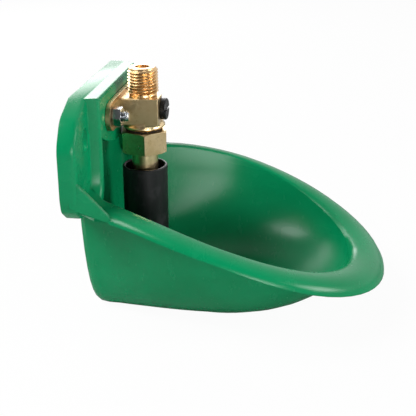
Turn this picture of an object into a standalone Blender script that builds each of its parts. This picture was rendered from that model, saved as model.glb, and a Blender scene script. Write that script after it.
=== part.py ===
"""Livestock drinking bowl with a push-tube valve, built from its separate pieces.

Metres, +Z up. The drinking lip points to -Y, the back of the wall plate lies in the plane
y = WALL_Y, and the underside of the bowl stands on z = 0. In the functions below, "out" is the
distance from the wall, "side" the distance to the right of the middle and "up" the height.
"""
import math

import bmesh
import bpy
from mathutils import Matrix, Vector

# Overall sizes
BOWL_LENGTH = 0.180
BOWL_WIDTH = 0.172
WALL_Y = BOWL_LENGTH / 2
BOWL_WALL = 0.003
FIT_GAP = 0.0003
CUT_OVERRUN = 0.004
WELD_DISTANCE = 0.00001
ROUND_STEPS = 36
SMALL_ROUND_STEPS = 24

# Rim of the bowl
RIM_BREADTH_SIDE = 0.0112
RIM_BREADTH_TIP = 0.0159
RIM_BREADTH_PLATE = 0.0215
RIM_DROP_SIDE = 0.0052
RIM_DROP_TIP = 0.0111
RIM_DROP_PLATE = 0.0078
RIM_WALL = 0.0028
RIM_SKIRT_WALL = 0.0024
RIM_INNER_LAP = 0.0015
RIM_PLATE_REACH = 0.018
RIM_PLATE_DROP_REACH = 0.030
CREST_START_SIDE = 0.0477
CREST_WIDEST_OUT = 0.0848
CREST_REAR_POWER_SHARE = 1.7
CREST_TIP_POWER_SHARE = 0.9
CREST_SIDE_POWER_SHARE = 1.04
CREST_BACK_UP = 0.0752
CREST_BACK_PULL_UP = 0.0732
CREST_FRONT_PULL_UP = 0.0508
CREST_FRONT_UP = 0.0297
CREST_PLATE_RISE = 0.0045
CREST_PLATE_REACH = 0.008
CREST_ROUND_SIDE = 0.002
CREST_ROUND_TIP = 0.006
CREST_BLEND_REACH = 0.025
CREST_STEP = 0.0003
CREST_OPEN_RISE = 0.0015
RIM_TOP_BREADTH_SHARES = (0.0, 0.35, 0.65, 0.85, 0.97, 1.0)
RIM_TOP_DROP_SHARES = (0.0, 0.05, 0.18, 0.42, 0.72, 1.0)
RIM_UNDER_BREADTH_SHARE = 0.45
RIM_UNDER_DROP_SHARE = 0.1
RIM_SKIRT_DROP_SHARE = 0.45
RIM_SKIRT_WALL_SHARE = 0.8

# Basin of the bowl
BASIN_BACK_OUT = 0.004
BASIN_CORNER_RADIUS = 0.006
BASIN_LIP_SINK = 0.0015
FLOOR_BACK_OUT = 0.013
FLOOR_BACK_HALF_WIDTH = 0.027
FLOOR_FRONT_HALF_WIDTH = 0.024
FLOOR_CORNER_RADIUS = 0.004
FLOOR_WIDEST_OUT = 0.070
FLOOR_FRONT_OUT = 0.100
FLOOR_SPREAD_SHARE = 0.3
BACK_BEND_SHARES = (0.10, 0.93, 0.55)
REAR_BEND_SHARES = (0.19, 0.90, 0.65)
WIDEST_BEND_SHARES = (0.06, 0.55, 0.60)
TIP_BEND_SHARES = (0.14, 0.58, 0.55)
BACK_STATIONS = 3
CORNER_STATIONS = 3
REAR_STATIONS = 9
FRONT_STATIONS = 16
BEND_STEPS = 10
OPEN_TOP_UP = 0.118

# Wall plate
PLATE_DEPTH = 0.010
PLATE_HALF_WIDTH = 0.0738
PLATE_TOP_UP = 0.132
PLATE_TOP_HALF_WIDTH = 0.047
PLATE_SHOULDER_UP = 0.111
PLATE_SHOULDER_SIDE = 0.0655
PLATE_SHOULDER_TOP_UP = 0.1245
PLATE_SIDE_BOTTOM_UP = 0.081
PLATE_HEEL_SIDE = 0.0722
PLATE_HEEL_UP = 0.0742
PLATE_FOOT_SIDE = 0.0625
PLATE_FOOT_UP = 0.0668
PLATE_BOTTOM_SIDE = 0.050
PLATE_BOTTOM_UP = 0.065
PLATE_CORNER_ROUND = 0.004
PLATE_HEEL_ROUND = 0.002
PLATE_EDGE_ROUND = 0.003
INSET_LEAST_SHARE = 0.1
SLOT_SIDE = 0.0526
SLOT_UP = 0.110
SLOT_WIDTH = 0.008
SLOT_LENGTH = 0.013

# Raised pad that carries the valve, and the recess below it
PAD_RISE = 0.0065
PAD_TOP_SINK = 0.0004
PAD_BASE_HALF_WIDTH = 0.047
PAD_FRONT_HALF_WIDTH = 0.0447
PAD_EDGE_ROUND = 0.0018
PAD_FRONT_WALL = 0.0035
PAD_SIDE_WALL = 0.0035
PAD_MIDDLE_UP = 0.097
PAD_SIDE_UP = 0.1095
PAD_LOWER_WALL = 0.0034
RECESS_BACK_OUT = 0.0014
RECESS_WALL = 0.0035
RECESS_BOTTOM_UP = 0.0665

# Legs that carry the pad's sides down to the rim, from the wall of the basin upwards
LEG_WALL = 0.0032
LEG_BACK_OUT = 0.003
LEG_BACK_SIDE = 0.043
LEG_ROOT_LAP = 0.0006
LEG_ROOT_SINK = 0.00015
LEG_HEEL_RISE = 0.0006
LEG_TOP_LAP = 0.0015
LEG_TIP_UP = 0.066
LEG_TIP_LEAN_SHARE = 0.6
LEG_TIP_DEPTH = 0.0007
LEG_TIP_BREADTH_SHARE = 0.15
LEG_UPS = (0.074, 0.0765, 0.080, 0.084, 0.090)
LEG_FRONT_SPREADS = (0.0072, 0.0044, 0.0020, 0.0006, 0.0)
LEG_HEEL_SPREADS = (0.0024, 0.0022, 0.0017, 0.0007, 0.0)
LEG_INNER_SPREADS = (0.0025, 0.0010, 0.0003, 0.0, 0.0)
LEG_ROUND_PULL_SHARE = 0.55
LEG_ROUND_STEPS = 3

# Gussets between plate and rim
GUSSET_WALL = 0.0025
GUSSET_BACK_OUT = 0.005
GUSSET_PLATE_SIDE = 0.0725
GUSSET_RIM_SIDE = 0.0668
GUSSET_RIM_OUT = 0.028
GUSSET_PLATE_TOP_UP = 0.0965
GUSSET_PLATE_BOTTOM_UP = 0.077
GUSSET_RIM_TOP_UP = 0.0687
GUSSET_RIM_BOTTOM_UP = 0.0668

# Valve body
VALVE_STAND_OFF = 0.012
BLOCK_HALF_WIDTH = 0.011
BLOCK_BOTTOM_UP = 0.1065
BLOCK_HEIGHT = 0.0163
BLOCK_EDGE_ROUND = 0.0006
FLANGE_HALF_LENGTH = 0.0346
FLANGE_HEIGHT = 0.0170
FLANGE_THICKNESS = 0.0025
FLANGE_DROP = 0.0064
BOLT_SIDE = 0.026
COLLAR_RADIUS = 0.0127
COLLAR_HEIGHT = 0.0035
COLLAR_ROUND = 0.0012
THREAD_RADIUS = 0.0093
THREAD_TOP_RADIUS = 0.0090
THREAD_DEPTH = 0.0010
THREAD_NECK_HEIGHT = 0.0012
THREAD_CHAMFER_RADIUS = 0.0074
THREAD_HEIGHT = 0.017
INLET_RADIUS = 0.00445
INLET_STEP_DEPTH = 0.0058
INLET_LOWER_RADIUS = 0.00375
CHAMBER_RADIUS = 0.0074
CHAMBER_TOP_DROP = 0.0003
SHANK_REACH = 0.0009
SEAT_SEAL_THICKNESS = 0.0016
SHANK_RADIUS = 0.0083

# Outlet nipple, its gasket and the seat seal
GASKET_THICKNESS = 0.0005
GASKET_RADIUS = 0.0112
NUT_FLATS = 0.0262
NUT_HEIGHT = 0.0133
NUT_CHAMFER = 0.0014
NUT_TURN = math.radians(12.5)
SPIGOT_RADIUS = 0.0080
SPIGOT_LENGTH = 0.0163
SPIGOT_BORE_TOP_RADIUS = 0.0054
SPIGOT_BORE_BOTTOM_RADIUS = 0.0060
SPIGOT_EDGE = 0.0005

# Stem with its seal disc, cup, spring, carrier and nut
SEAL_LIFT = 0.0005
SEAL_DISC_RADIUS = 0.0068
SEAL_DISC_THICKNESS = 0.0016
SEAL_DISC_PLAY = 0.0005
STEM_RADIUS = 0.0020
STEM_HEAD_RADIUS = 0.0046
STEM_HEAD_THICKNESS = 0.0014
STEM_HEAD_LIFT = 0.0004
STEM_PEG_RADIUS = 0.0018
STEM_PEG_HEIGHT = 0.0024
STEM_SHOULDER_RADIUS = 0.0032
STEM_SHOULDER_HEIGHT = 0.0015
STEM_END_REACH = 0.0022
CUP_RADIUS = 0.0044
CUP_THICKNESS = 0.0008
SPRING_WIRE_RADIUS = 0.00045
SPRING_RADIUS = 0.0036
SPRING_TURNS = 4
SPRING_STEPS = 14
SPRING_LIFT = 0.0005
CARRIER_DROP = 0.008
CARRIER_HEIGHT = 0.0036
CARRIER_HUB_RADIUS = 0.0042
CARRIER_RING_WALL = 0.0014
CARRIER_ARM_WIDTH = 0.0024
CARRIER_ARMS = 3
STEM_NUT_FLATS = 0.0075
STEM_NUT_HEIGHT = 0.0034

# Push tube
TUBE_RADIUS = 0.01375
TUBE_WALL = 0.0017
TUBE_LAP = 0.007
TUBE_LENGTH = 0.065
TUBE_EDGE_ROUND = 0.0005
TUBE_LEDGE_WALL = 0.0027
TUBE_LEDGE_HEIGHT = 0.0030

# Inlet strainer
STRAINER_RIM_THICKNESS = 0.0010
STRAINER_WALL = 0.0007
STRAINER_DEPTH = 0.0075
STRAINER_SLOTS = 6
STRAINER_SLOT_WIDTH = 0.0012
STRAINER_SLOT_MARGIN = 0.0012

# Flow regulator screw and its sealing ring
REGULATOR_DROP = 0.0082
REGULATOR_HEAD_RADIUS = 0.00645
REGULATOR_HEAD_THICKNESS = 0.0032
REGULATOR_HEAD_ROUND = 0.0006
REGULATOR_SHANK_RADIUS = 0.0050
REGULATOR_TIP_RADIUS = 0.0016
REGULATOR_SHANK_LENGTH = 0.0032
REGULATOR_TIP_LENGTH = 0.0009
REGULATOR_SLOT_WIDTH = 0.0014
REGULATOR_SLOT_DEPTH = 0.0016
REGULATOR_RING_WIRE_RADIUS = 0.0006
REGULATOR_RING_DEPTH = 0.0017

# Mounting bolts
BOLT_RADIUS = 0.0030
BOLT_HOLE_RADIUS = 0.0033
BOLT_HEAD_FLATS = 0.010
BOLT_HEAD_HEIGHT = 0.0040
BOLT_END_REACH = 0.0031
BOLT_END_CHAMFER = 0.0007
WASHER_RADIUS = 0.0060
WASHER_THICKNESS = 0.0012
BOLT_NUT_HEIGHT = 0.0050
BOLT_NUT_CHAMFER = 0.0006

# Heights and places that follow from the sizes above
CREST_START_OUT = PLATE_DEPTH
RIM_START_OUT = PLATE_DEPTH - BOWL_WALL / 2
PAD_OUT = PLATE_DEPTH + PAD_RISE
FLANGE_BACK_OUT = PAD_OUT + FIT_GAP
FLANGE_FRONT_OUT = FLANGE_BACK_OUT + FLANGE_THICKNESS
VALVE_OUT = FLANGE_FRONT_OUT + VALVE_STAND_OFF
BLOCK_TOP_UP = BLOCK_BOTTOM_UP + BLOCK_HEIGHT
FLANGE_UP = BLOCK_TOP_UP - FLANGE_DROP
THREAD_TOP_UP = BLOCK_TOP_UP + THREAD_HEIGHT
INLET_STEP_UP = THREAD_TOP_UP - INLET_STEP_DEPTH
STRAINER_BOTTOM_UP = INLET_STEP_UP - STRAINER_DEPTH
CHAMBER_TOP_UP = BLOCK_TOP_UP - CHAMBER_TOP_DROP
SHANK_TOP_UP = BLOCK_BOTTOM_UP + SHANK_REACH
COLLAR_BOTTOM_UP = BLOCK_BOTTOM_UP - COLLAR_HEIGHT
GASKET_TOP_UP = COLLAR_BOTTOM_UP - FIT_GAP
GASKET_BOTTOM_UP = GASKET_TOP_UP - GASKET_THICKNESS
NUT_TOP_UP = GASKET_BOTTOM_UP - FIT_GAP
NUT_BOTTOM_UP = NUT_TOP_UP - NUT_HEIGHT
SPIGOT_BOTTOM_UP = NUT_BOTTOM_UP - SPIGOT_LENGTH
TUBE_TOP_UP = SPIGOT_BOTTOM_UP + TUBE_LAP
TUBE_BOTTOM_UP = TUBE_TOP_UP - TUBE_LENGTH
CARRIER_TOP_UP = SPIGOT_BOTTOM_UP - CARRIER_DROP
SEAT_SEAL_BOTTOM_UP = SHANK_TOP_UP + FIT_GAP
SEAT_SEAL_TOP_UP = SEAT_SEAL_BOTTOM_UP + SEAT_SEAL_THICKNESS
LOWER_BORE_TOP_UP = SEAT_SEAL_TOP_UP + FIT_GAP
LOWER_BORE_RADIUS = SHANK_RADIUS + FIT_GAP
SEAL_DISC_BOTTOM_UP = SEAT_SEAL_TOP_UP + SEAL_LIFT
SEAL_DISC_TOP_UP = SEAL_DISC_BOTTOM_UP + SEAL_DISC_THICKNESS
STEM_HEAD_BOTTOM_UP = SEAL_DISC_TOP_UP + STEM_HEAD_LIFT
STEM_HEAD_TOP_UP = STEM_HEAD_BOTTOM_UP + STEM_HEAD_THICKNESS
CUP_BOTTOM_UP = STEM_HEAD_TOP_UP + FIT_GAP
CUP_TOP_UP = CUP_BOTTOM_UP + CUP_THICKNESS
STEM_TOP_UP = STEM_HEAD_TOP_UP + STEM_PEG_HEIGHT
SPRING_BOTTOM_UP = CUP_TOP_UP + SPRING_LIFT
SPRING_TOP_UP = CHAMBER_TOP_UP - FIT_GAP
CARRIER_BOTTOM_UP = CARRIER_TOP_UP - CARRIER_HEIGHT
STEM_NUT_TOP_UP = CARRIER_BOTTOM_UP - FIT_GAP
STEM_NUT_BOTTOM_UP = STEM_NUT_TOP_UP - STEM_NUT_HEIGHT
STEM_BOTTOM_UP = STEM_NUT_BOTTOM_UP - STEM_END_REACH
STEM_SHOULDER_BOTTOM_UP = CARRIER_TOP_UP + FIT_GAP
STEM_SHOULDER_TOP_UP = STEM_SHOULDER_BOTTOM_UP + STEM_SHOULDER_HEIGHT
TUBE_BORE_RADIUS = TUBE_RADIUS - TUBE_WALL
CARRIER_RADIUS = TUBE_BORE_RADIUS - FIT_GAP
TUBE_LEDGE_TOP_UP = CARRIER_BOTTOM_UP - FIT_GAP
TUBE_LEDGE_BOTTOM_UP = TUBE_LEDGE_TOP_UP - TUBE_LEDGE_HEIGHT
BLOCK_FRONT_OUT = VALVE_OUT + BLOCK_HALF_WIDTH
REGULATOR_UP = BLOCK_TOP_UP - REGULATOR_DROP
REGULATOR_SHANK_OUT = BLOCK_FRONT_OUT - REGULATOR_SHANK_LENGTH
REGULATOR_TIP_OUT = REGULATOR_SHANK_OUT - REGULATOR_TIP_LENGTH
REGULATOR_RING_OUT = BLOCK_FRONT_OUT - REGULATOR_RING_DEPTH
REGULATOR_HEAD_BACK_OUT = BLOCK_FRONT_OUT + FIT_GAP
REGULATOR_HEAD_FRONT_OUT = REGULATOR_HEAD_BACK_OUT + REGULATOR_HEAD_THICKNESS
REGULATOR_BORE_RADIUS = REGULATOR_SHANK_RADIUS + FIT_GAP
PAD_WALL_BACK_OUT = PAD_OUT - PAD_FRONT_WALL
BOLT_WASHER_FRONT_OUT = PAD_WALL_BACK_OUT - FIT_GAP
BOLT_WASHER_BACK_OUT = BOLT_WASHER_FRONT_OUT - WASHER_THICKNESS
BOLT_HEAD_FRONT_OUT = BOLT_WASHER_BACK_OUT - FIT_GAP
BOLT_HEAD_BACK_OUT = BOLT_HEAD_FRONT_OUT - BOLT_HEAD_HEIGHT
BOLT_NUT_BACK_OUT = FLANGE_FRONT_OUT + FIT_GAP
BOLT_END_OUT = BOLT_NUT_BACK_OUT + BOLT_NUT_HEIGHT + BOLT_END_REACH

ALONG_Y = Matrix.Rotation(math.pi / 2, 4, "X")


# Scene housekeeping
def clear_scene():
    for old in list(bpy.data.objects):
        bpy.data.objects.remove(old, do_unlink=True)


def make_collection(name):
    collection = bpy.data.collections.new(name)
    bpy.context.scene.collection.children.link(collection)
    return collection


def make_material(name, colour, metallic, roughness):
    material = bpy.data.materials.new(name)
    material.use_nodes = True
    shader = material.node_tree.nodes["Principled BSDF"]
    shader.inputs["Base Color"].default_value = (*colour, 1.0)
    shader.inputs["Metallic"].default_value = metallic
    shader.inputs["Roughness"].default_value = roughness
    return material


def spot(out, side, up):
    """World point at a distance out from the wall, to the right of the middle, and up."""
    return Vector((side, WALL_Y - out, up))


def add_object(name, bm, smooth=False):
    """A piece of the product when it has a finish, or else a cutter."""
    bmesh.ops.remove_doubles(bm, verts=bm.verts[:], dist=WELD_DISTANCE)
    mesh = bpy.data.meshes.new(name)
    bm.to_mesh(mesh)
    bm.free()
    if smooth:
        mesh.shade_smooth()
        mesh.set_sharp_from_angle(angle=math.radians(35))
    item = bpy.data.objects.new(name, mesh)
    if name in FINISHES:
        PIECES.objects.link(item)
        item.data.materials.append(FINISHES[name])
    else:
        CUTTERS.objects.link(item)
        item.hide_render = True
        item.display_type = "WIRE"
    return item


def combine(target, operand, operation):
    step = target.modifiers.new(operand.name, "BOOLEAN")
    step.operation = operation
    step.solver = "EXACT"
    step.object = operand
    operand.hide_set(True)


# Basic forms
def prism(name, outline, place, low, high):
    """A flat outline swept from low to high; place turns its two coordinates and depth to a point."""
    bm = bmesh.new()
    corners = [bm.verts.new(place(a, b, low)) for a, b in outline]
    face = bm.faces.new(corners)
    moved = bmesh.ops.extrude_face_region(bm, geom=[face])
    lifted = [item for item in moved["geom"] if isinstance(item, bmesh.types.BMVert)]
    start = place(0.0, 0.0, low)
    bmesh.ops.translate(bm, vec=place(0.0, 0.0, high) - start, verts=lifted)
    bmesh.ops.recalc_face_normals(bm, faces=bm.faces[:])
    return add_object(name, bm)


def turned(name, profile, place, steps=ROUND_STEPS, along_y=False, closed=False):
    """A profile of radius and height turned with a Screw; along_y points its top to the front."""
    bm = bmesh.new()
    points = [bm.verts.new((radius, 0.0, height)) for radius, height in profile]
    for first, second in zip(points, points[1:]):
        bm.edges.new((first, second))
    if closed:
        bm.edges.new((points[-1], points[0]))
    item = add_object(name, bm)
    screw = item.modifiers.new("Turn", "SCREW")
    screw.axis = "Z"
    screw.steps = steps
    screw.render_steps = steps
    screw.use_merge_vertices = True
    screw.merge_threshold = WELD_DISTANCE
    screw.use_smooth_shade = True
    item.matrix_world = Matrix.Translation(place) @ (ALONG_Y if along_y else Matrix.Identity(4))
    return item


def hexagon(name, flats, thickness, chamfer, place, along_y=False, corner_turn=0.0):
    """A hexagon nut blank with turned-down corners, from its lower face upwards."""
    bm = bmesh.new()
    corner_radius = flats / math.sqrt(3.0)
    bmesh.ops.create_cone(
        bm, cap_ends=True, segments=6, radius1=corner_radius, radius2=corner_radius, depth=thickness
    )
    bmesh.ops.rotate(bm, verts=bm.verts[:], cent=(0.0, 0.0, 0.0), matrix=Matrix.Rotation(math.pi / 6, 3, "Z"))
    bmesh.ops.translate(bm, vec=(0.0, 0.0, thickness / 2), verts=bm.verts[:])
    item = add_object(name, bm)
    turn = ALONG_Y if along_y else Matrix.Identity(4)
    item.matrix_world = Matrix.Translation(place) @ turn @ Matrix.Rotation(corner_turn, 4, "Z")
    face_radius = corner_radius - chamfer
    slope = chamfer * math.tan(math.radians(30))
    barrel = turned(
        name + "_corners",
        [
            (0.0, thickness + slope),
            (face_radius - chamfer, thickness + slope),
            (corner_radius + chamfer, thickness - 2 * slope),
            (corner_radius + chamfer, 2 * slope),
            (face_radius - chamfer, -slope),
            (0.0, -slope),
        ],
        place,
        along_y=along_y,
    )
    combine(item, barrel, "INTERSECT")
    return item


def bezier(points, share):
    """Point on the cubic curve through the first and last of four points."""
    rest = 1.0 - share
    weights = (rest**3, 3 * rest**2 * share, 3 * rest * share**2, share**3)
    return sum((point * weight for point, weight in zip(points, weights)), Vector((0.0,) * len(points[0])))


def ease(value):
    value = min(max(value, 0.0), 1.0)
    return value * value * (3.0 - 2.0 * value)


def mix(low, high, share):
    return low + (high - low) * share


# Lines that shape the bowl
def crest_outline(count_rear, count_front):
    """Plan points of the rim's inner edge from the plate to the tip, on one side."""
    half_width = BOWL_WIDTH / 2 - RIM_BREADTH_SIDE
    tip_out = BOWL_LENGTH - RIM_BREADTH_TIP
    points = []
    for step in range(count_rear):
        share = step / count_rear
        out = mix(CREST_START_OUT, CREST_WIDEST_OUT, share)
        narrowing = (1.0 - share) ** CREST_REAR_POWER_SHARE
        points.append(Vector((out, half_width - (half_width - CREST_START_SIDE) * narrowing)))
    for step in range(count_front + 1):
        angle = math.pi / 2 * (1.0 - step / count_front)
        reach = max(math.cos(angle), 0.0) ** CREST_TIP_POWER_SHARE
        spread = max(math.sin(angle), 0.0) ** CREST_SIDE_POWER_SHARE
        points.append(Vector((mix(CREST_WIDEST_OUT, tip_out, reach), half_width * spread)))
    return points


def crest_height(out):
    """Height of the rim's inner edge, which sinks from the plate to the lip."""
    tip_out = BOWL_LENGTH - RIM_BREADTH_TIP
    share = (out - CREST_START_OUT) / (tip_out - CREST_START_OUT)
    heights = (CREST_BACK_UP, CREST_BACK_PULL_UP, CREST_FRONT_PULL_UP, CREST_FRONT_UP)
    level = bezier([Vector((0.0, height)) for height in heights], min(max(share, 0.0), 1.0)).y
    near_plate = max(1.0 - (out - CREST_START_OUT) / CREST_PLATE_REACH, 0.0)
    return level + CREST_PLATE_RISE * min(near_plate, 1.0) ** 2


def arch_height(side):
    """Lower edge of the valve pad, lowest in the middle."""
    return PAD_MIDDLE_UP + (PAD_SIDE_UP - PAD_MIDDLE_UP) * (side / PAD_FRONT_HALF_WIDTH) ** 2


class Station:
    """One place round the bowl: the rim point, its outward direction and the floor point."""

    def __init__(self, crest, outward, floor, bend, round_radius, openness):
        self.crest = crest
        self.outward = outward
        self.floor = floor
        self.bend = bend
        self.round_radius = round_radius
        self.openness = openness

    def mirrored(self):
        flip = Vector((1.0, -1.0))
        return Station(
            self.crest * flip, self.outward * flip, self.floor * flip, self.bend, self.round_radius, self.openness
        )


def bend_between(first, second, share):
    return tuple(mix(low, high, share) for low, high in zip(first, second))


def back_stations():
    """From the middle of the back wall round its vertical corner."""
    stations = []
    straight = CREST_START_SIDE - BASIN_CORNER_RADIUS
    floor_straight = FLOOR_BACK_HALF_WIDTH - FLOOR_CORNER_RADIUS
    for step in range(BACK_STATIONS):
        share = step / BACK_STATIONS
        crest = Vector((BASIN_BACK_OUT, straight * share))
        floor = Vector((FLOOR_BACK_OUT, floor_straight * share))
        stations.append(Station(crest, Vector((-1.0, 0.0)), floor, BACK_BEND_SHARES, 0.0, 0.0))
    for step in range(CORNER_STATIONS):
        share = step / CORNER_STATIONS
        angle = math.pi / 2 * share
        outward = Vector((-math.cos(angle), math.sin(angle)))
        centre = Vector((BASIN_BACK_OUT + BASIN_CORNER_RADIUS, straight))
        floor_centre = Vector((FLOOR_BACK_OUT + FLOOR_CORNER_RADIUS, floor_straight))
        bend = bend_between(BACK_BEND_SHARES, REAR_BEND_SHARES, share)
        crest = centre + outward * BASIN_CORNER_RADIUS
        floor = floor_centre + outward * FLOOR_CORNER_RADIUS
        stations.append(Station(crest, outward, floor, bend, 0.0, 0.0))
    return stations


def side_stations():
    """From the plate along one side of the rim to the tip of the lip."""
    plan = crest_outline(REAR_STATIONS, FRONT_STATIONS)
    stations = []
    for index, crest in enumerate(plan):
        after = plan[min(index + 1, len(plan) - 1)]
        before = plan[max(index - 1, 0)]
        run = after - before
        true_outward = Vector((run.y, -run.x)).normalized() * -1.0
        if index == len(plan) - 1:
            true_outward = Vector((1.0, 0.0))
        away = ease((crest.x - CREST_START_OUT) / CREST_BLEND_REACH)
        outward = Vector((0.0, 1.0)).lerp(true_outward, away).normalized()
        if index < REAR_STATIONS:
            share = index / REAR_STATIONS
            floor_out = mix(FLOOR_BACK_OUT + FLOOR_CORNER_RADIUS, FLOOR_WIDEST_OUT, share)
            floor = Vector((floor_out, mix(FLOOR_BACK_HALF_WIDTH, FLOOR_FRONT_HALF_WIDTH, share)))
            bend = bend_between(REAR_BEND_SHARES, WIDEST_BEND_SHARES, share)
        else:
            share = (index - REAR_STATIONS) / FRONT_STATIONS
            angle = math.pi / 2 * (1.0 - share)
            floor_out = mix(FLOOR_WIDEST_OUT, FLOOR_FRONT_OUT, math.cos(angle))
            floor = Vector((floor_out, FLOOR_FRONT_HALF_WIDTH * math.sin(angle)))
            bend = bend_between(WIDEST_BEND_SHARES, TIP_BEND_SHARES, share)
        forward = max(outward.x, 0.0)
        opened = ease((crest.x - CREST_START_OUT) / CREST_PLATE_REACH)
        round_radius = mix(CREST_ROUND_SIDE, CREST_ROUND_TIP, forward) * opened
        stations.append(Station(crest, outward, floor, bend, round_radius, opened))
    return stations


def both_sides(half):
    """The stations of one side, then those of the other in reverse, as one closed ring."""
    return half + [station.mirrored() for station in reversed(half[1:-1])]


def wall_curve(station, offset, floor_up, top_up):
    """Points up the wall from the floor to the rim, moved outward by offset."""
    end_plan = station.crest + station.outward * (offset - station.round_radius)
    floor_plan = station.floor + station.outward * (offset * FLOOR_SPREAD_SHARE)
    lean, drop, reach = station.bend
    inward = (floor_plan - end_plan) * lean
    across = (end_plan - floor_plan) * reach
    fall = (top_up - floor_up) * drop
    end = Vector((end_plan.x, end_plan.y, top_up))
    first_pull = Vector((end_plan.x + inward.x, end_plan.y + inward.y, top_up - fall))
    floor_pull = Vector((floor_plan.x + across.x, floor_plan.y + across.y, floor_up))
    floor = Vector((floor_plan.x, floor_plan.y, floor_up))
    return [bezier([floor, floor_pull, first_pull, end], step / BEND_STEPS) for step in range(BEND_STEPS + 1)]


def ring_loft(name, columns, ladder_top):
    """A closed solid from equal columns of points round a ring, with floor and top faces."""
    bm = bmesh.new()
    grid = [[bm.verts.new(spot(point.x, point.y, point.z)) for point in column] for column in columns]
    count = len(grid)
    for index in range(count):
        here = grid[index]
        there = grid[(index + 1) % count]
        for row in range(len(here) - 1):
            bm.faces.new((here[row], there[row], there[row + 1], here[row + 1]))
    bm.faces.new([column[0] for column in reversed(grid)])
    top = [column[-1] for column in grid]
    if ladder_top:
        first = BACK_STATIONS + 1
        bm.faces.new([top[index] for index in range(-first, first + 1)])
        for index in range(first, count // 2):
            rung = [top[index], top[index + 1], top[(count - index - 1) % count], top[(count - index) % count]]
            corners = list(dict.fromkeys(rung))
            bm.faces.new(corners)
    else:
        bm.faces.new(top)
    bmesh.ops.recalc_face_normals(bm, faces=bm.faces[:])
    return add_object(name, bm, smooth=True)


def outer_basin():
    stations = both_sides(back_stations() + side_stations())
    columns = []
    for station in stations:
        top_up = crest_height(max(station.crest.x, CREST_START_OUT + CREST_PLATE_REACH)) - BASIN_LIP_SINK
        columns.append(wall_curve(station, BOWL_WALL, 0.0, top_up))
    return ring_loft("basin_outside", columns, ladder_top=True)


def inner_basin():
    """The space inside the bowl, with the rounded mouth and the way up past the rim."""
    stations = both_sides(back_stations() + side_stations())
    columns = []
    for station in stations:
        crest_up = crest_height(max(station.crest.x, CREST_START_OUT))
        radius = station.round_radius
        spread = CREST_STEP * (1.0 - station.openness)
        column = wall_curve(station, 0.0, BOWL_WALL, crest_up - radius)
        for step, angle in ((1, math.radians(30)), (2, math.radians(60)), (3, math.radians(90))):
            plan = station.crest - station.outward * (radius * math.cos(angle))
            level = crest_up - radius * (1.0 - math.sin(angle)) + spread * step
            column.append(Vector((plan.x, plan.y, level)))
        rise = station.crest + station.outward * (BOWL_WALL * station.openness)
        column.append(Vector((rise.x, rise.y, crest_up + CREST_OPEN_RISE)))
        column.append(Vector((rise.x, rise.y, OPEN_TOP_UP)))
        columns.append(column)
    return ring_loft("basin_inside", columns, ladder_top=False)


def rim_profile(crest, outward):
    """Closed section of the rim at one place, in distance outward and height over the crest."""
    forward = max(outward.x, 0.0)
    plate_share = max(1.0 - (crest.x - CREST_START_OUT) / RIM_PLATE_REACH, 0.0)
    plate_drop_share = max(1.0 - (crest.x - CREST_START_OUT) / RIM_PLATE_DROP_REACH, 0.0)
    breadth = mix(RIM_BREADTH_SIDE, RIM_BREADTH_TIP, forward)
    breadth = mix(breadth, RIM_BREADTH_PLATE, min(plate_share, 1.0) ** 2)
    drop = mix(RIM_DROP_SIDE, RIM_DROP_TIP, forward)
    drop = mix(drop, RIM_DROP_PLATE, min(plate_drop_share, 1.0))
    lap = mix(CREST_ROUND_SIDE, CREST_ROUND_TIP, forward) + RIM_INNER_LAP
    section = [(-lap, 0.0)]
    for along, down in zip(RIM_TOP_BREADTH_SHARES, RIM_TOP_DROP_SHARES):
        section.append((breadth * along, -drop * down))
    skirt_inner = breadth - RIM_SKIRT_WALL
    section.append((skirt_inner, -drop))
    skirt_drop = drop * RIM_SKIRT_DROP_SHARE + RIM_WALL * RIM_SKIRT_WALL_SHARE
    section.append((skirt_inner - RIM_SKIRT_WALL / 2, -skirt_drop))
    section.append((breadth * RIM_UNDER_BREADTH_SHARE, -(drop * RIM_UNDER_DROP_SHARE + RIM_WALL)))
    section.append((-lap, -RIM_WALL))
    return section


def rim_flange():
    """The flared rim, swept from the plate along one side, round the lip and back."""
    half = side_stations()
    first = half[0]
    start = Station(
        Vector((RIM_START_OUT, first.crest.y)), first.outward, first.floor, first.bend, 0.0, 0.0
    )
    half = [start] + half
    run = half + [station.mirrored() for station in reversed(half[:-1])]
    bm = bmesh.new()
    rings = []
    for station in run:
        crest_up = crest_height(max(station.crest.x, CREST_START_OUT))
        ring = []
        for away, over in rim_profile(station.crest, station.outward):
            plan = station.crest + station.outward * away
            ring.append(bm.verts.new(spot(plan.x, plan.y, crest_up + over)))
        rings.append(ring)
    count = len(rings[0])
    for here, there in zip(rings, rings[1:]):
        for index in range(count):
            after = (index + 1) % count
            bm.faces.new((here[index], there[index], there[after], here[after]))
    bm.faces.new(rings[0])
    bm.faces.new(list(reversed(rings[-1])))
    bmesh.ops.recalc_face_normals(bm, faces=bm.faces[:])
    return add_object("rim_flange", bm, smooth=True)


# Plate, pad, recess and gussets
def face_front(side, up, out):
    return spot(out, side, up)


def mirrored_outline(half):
    return half + [(-side, up) for side, up in reversed(half) if side > 0.0]


def arch_points(half_width, lift):
    steps = 12
    sides = [mix(-half_width, half_width, step / steps) for step in range(steps + 1)]
    return [(side, arch_height(side) + lift) for side in sides]


def plate_outline():
    half = [
        (PLATE_TOP_HALF_WIDTH, PLATE_TOP_UP),
        (PLATE_SHOULDER_SIDE, PLATE_SHOULDER_TOP_UP),
        (PLATE_HALF_WIDTH, PLATE_SHOULDER_UP),
        (PLATE_HALF_WIDTH, PLATE_SIDE_BOTTOM_UP),
        (PLATE_HEEL_SIDE, PLATE_HEEL_UP),
        (PLATE_FOOT_SIDE, PLATE_FOOT_UP),
        (PLATE_BOTTOM_SIDE, PLATE_BOTTOM_UP),
    ]
    return mirrored_outline(half)


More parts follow.
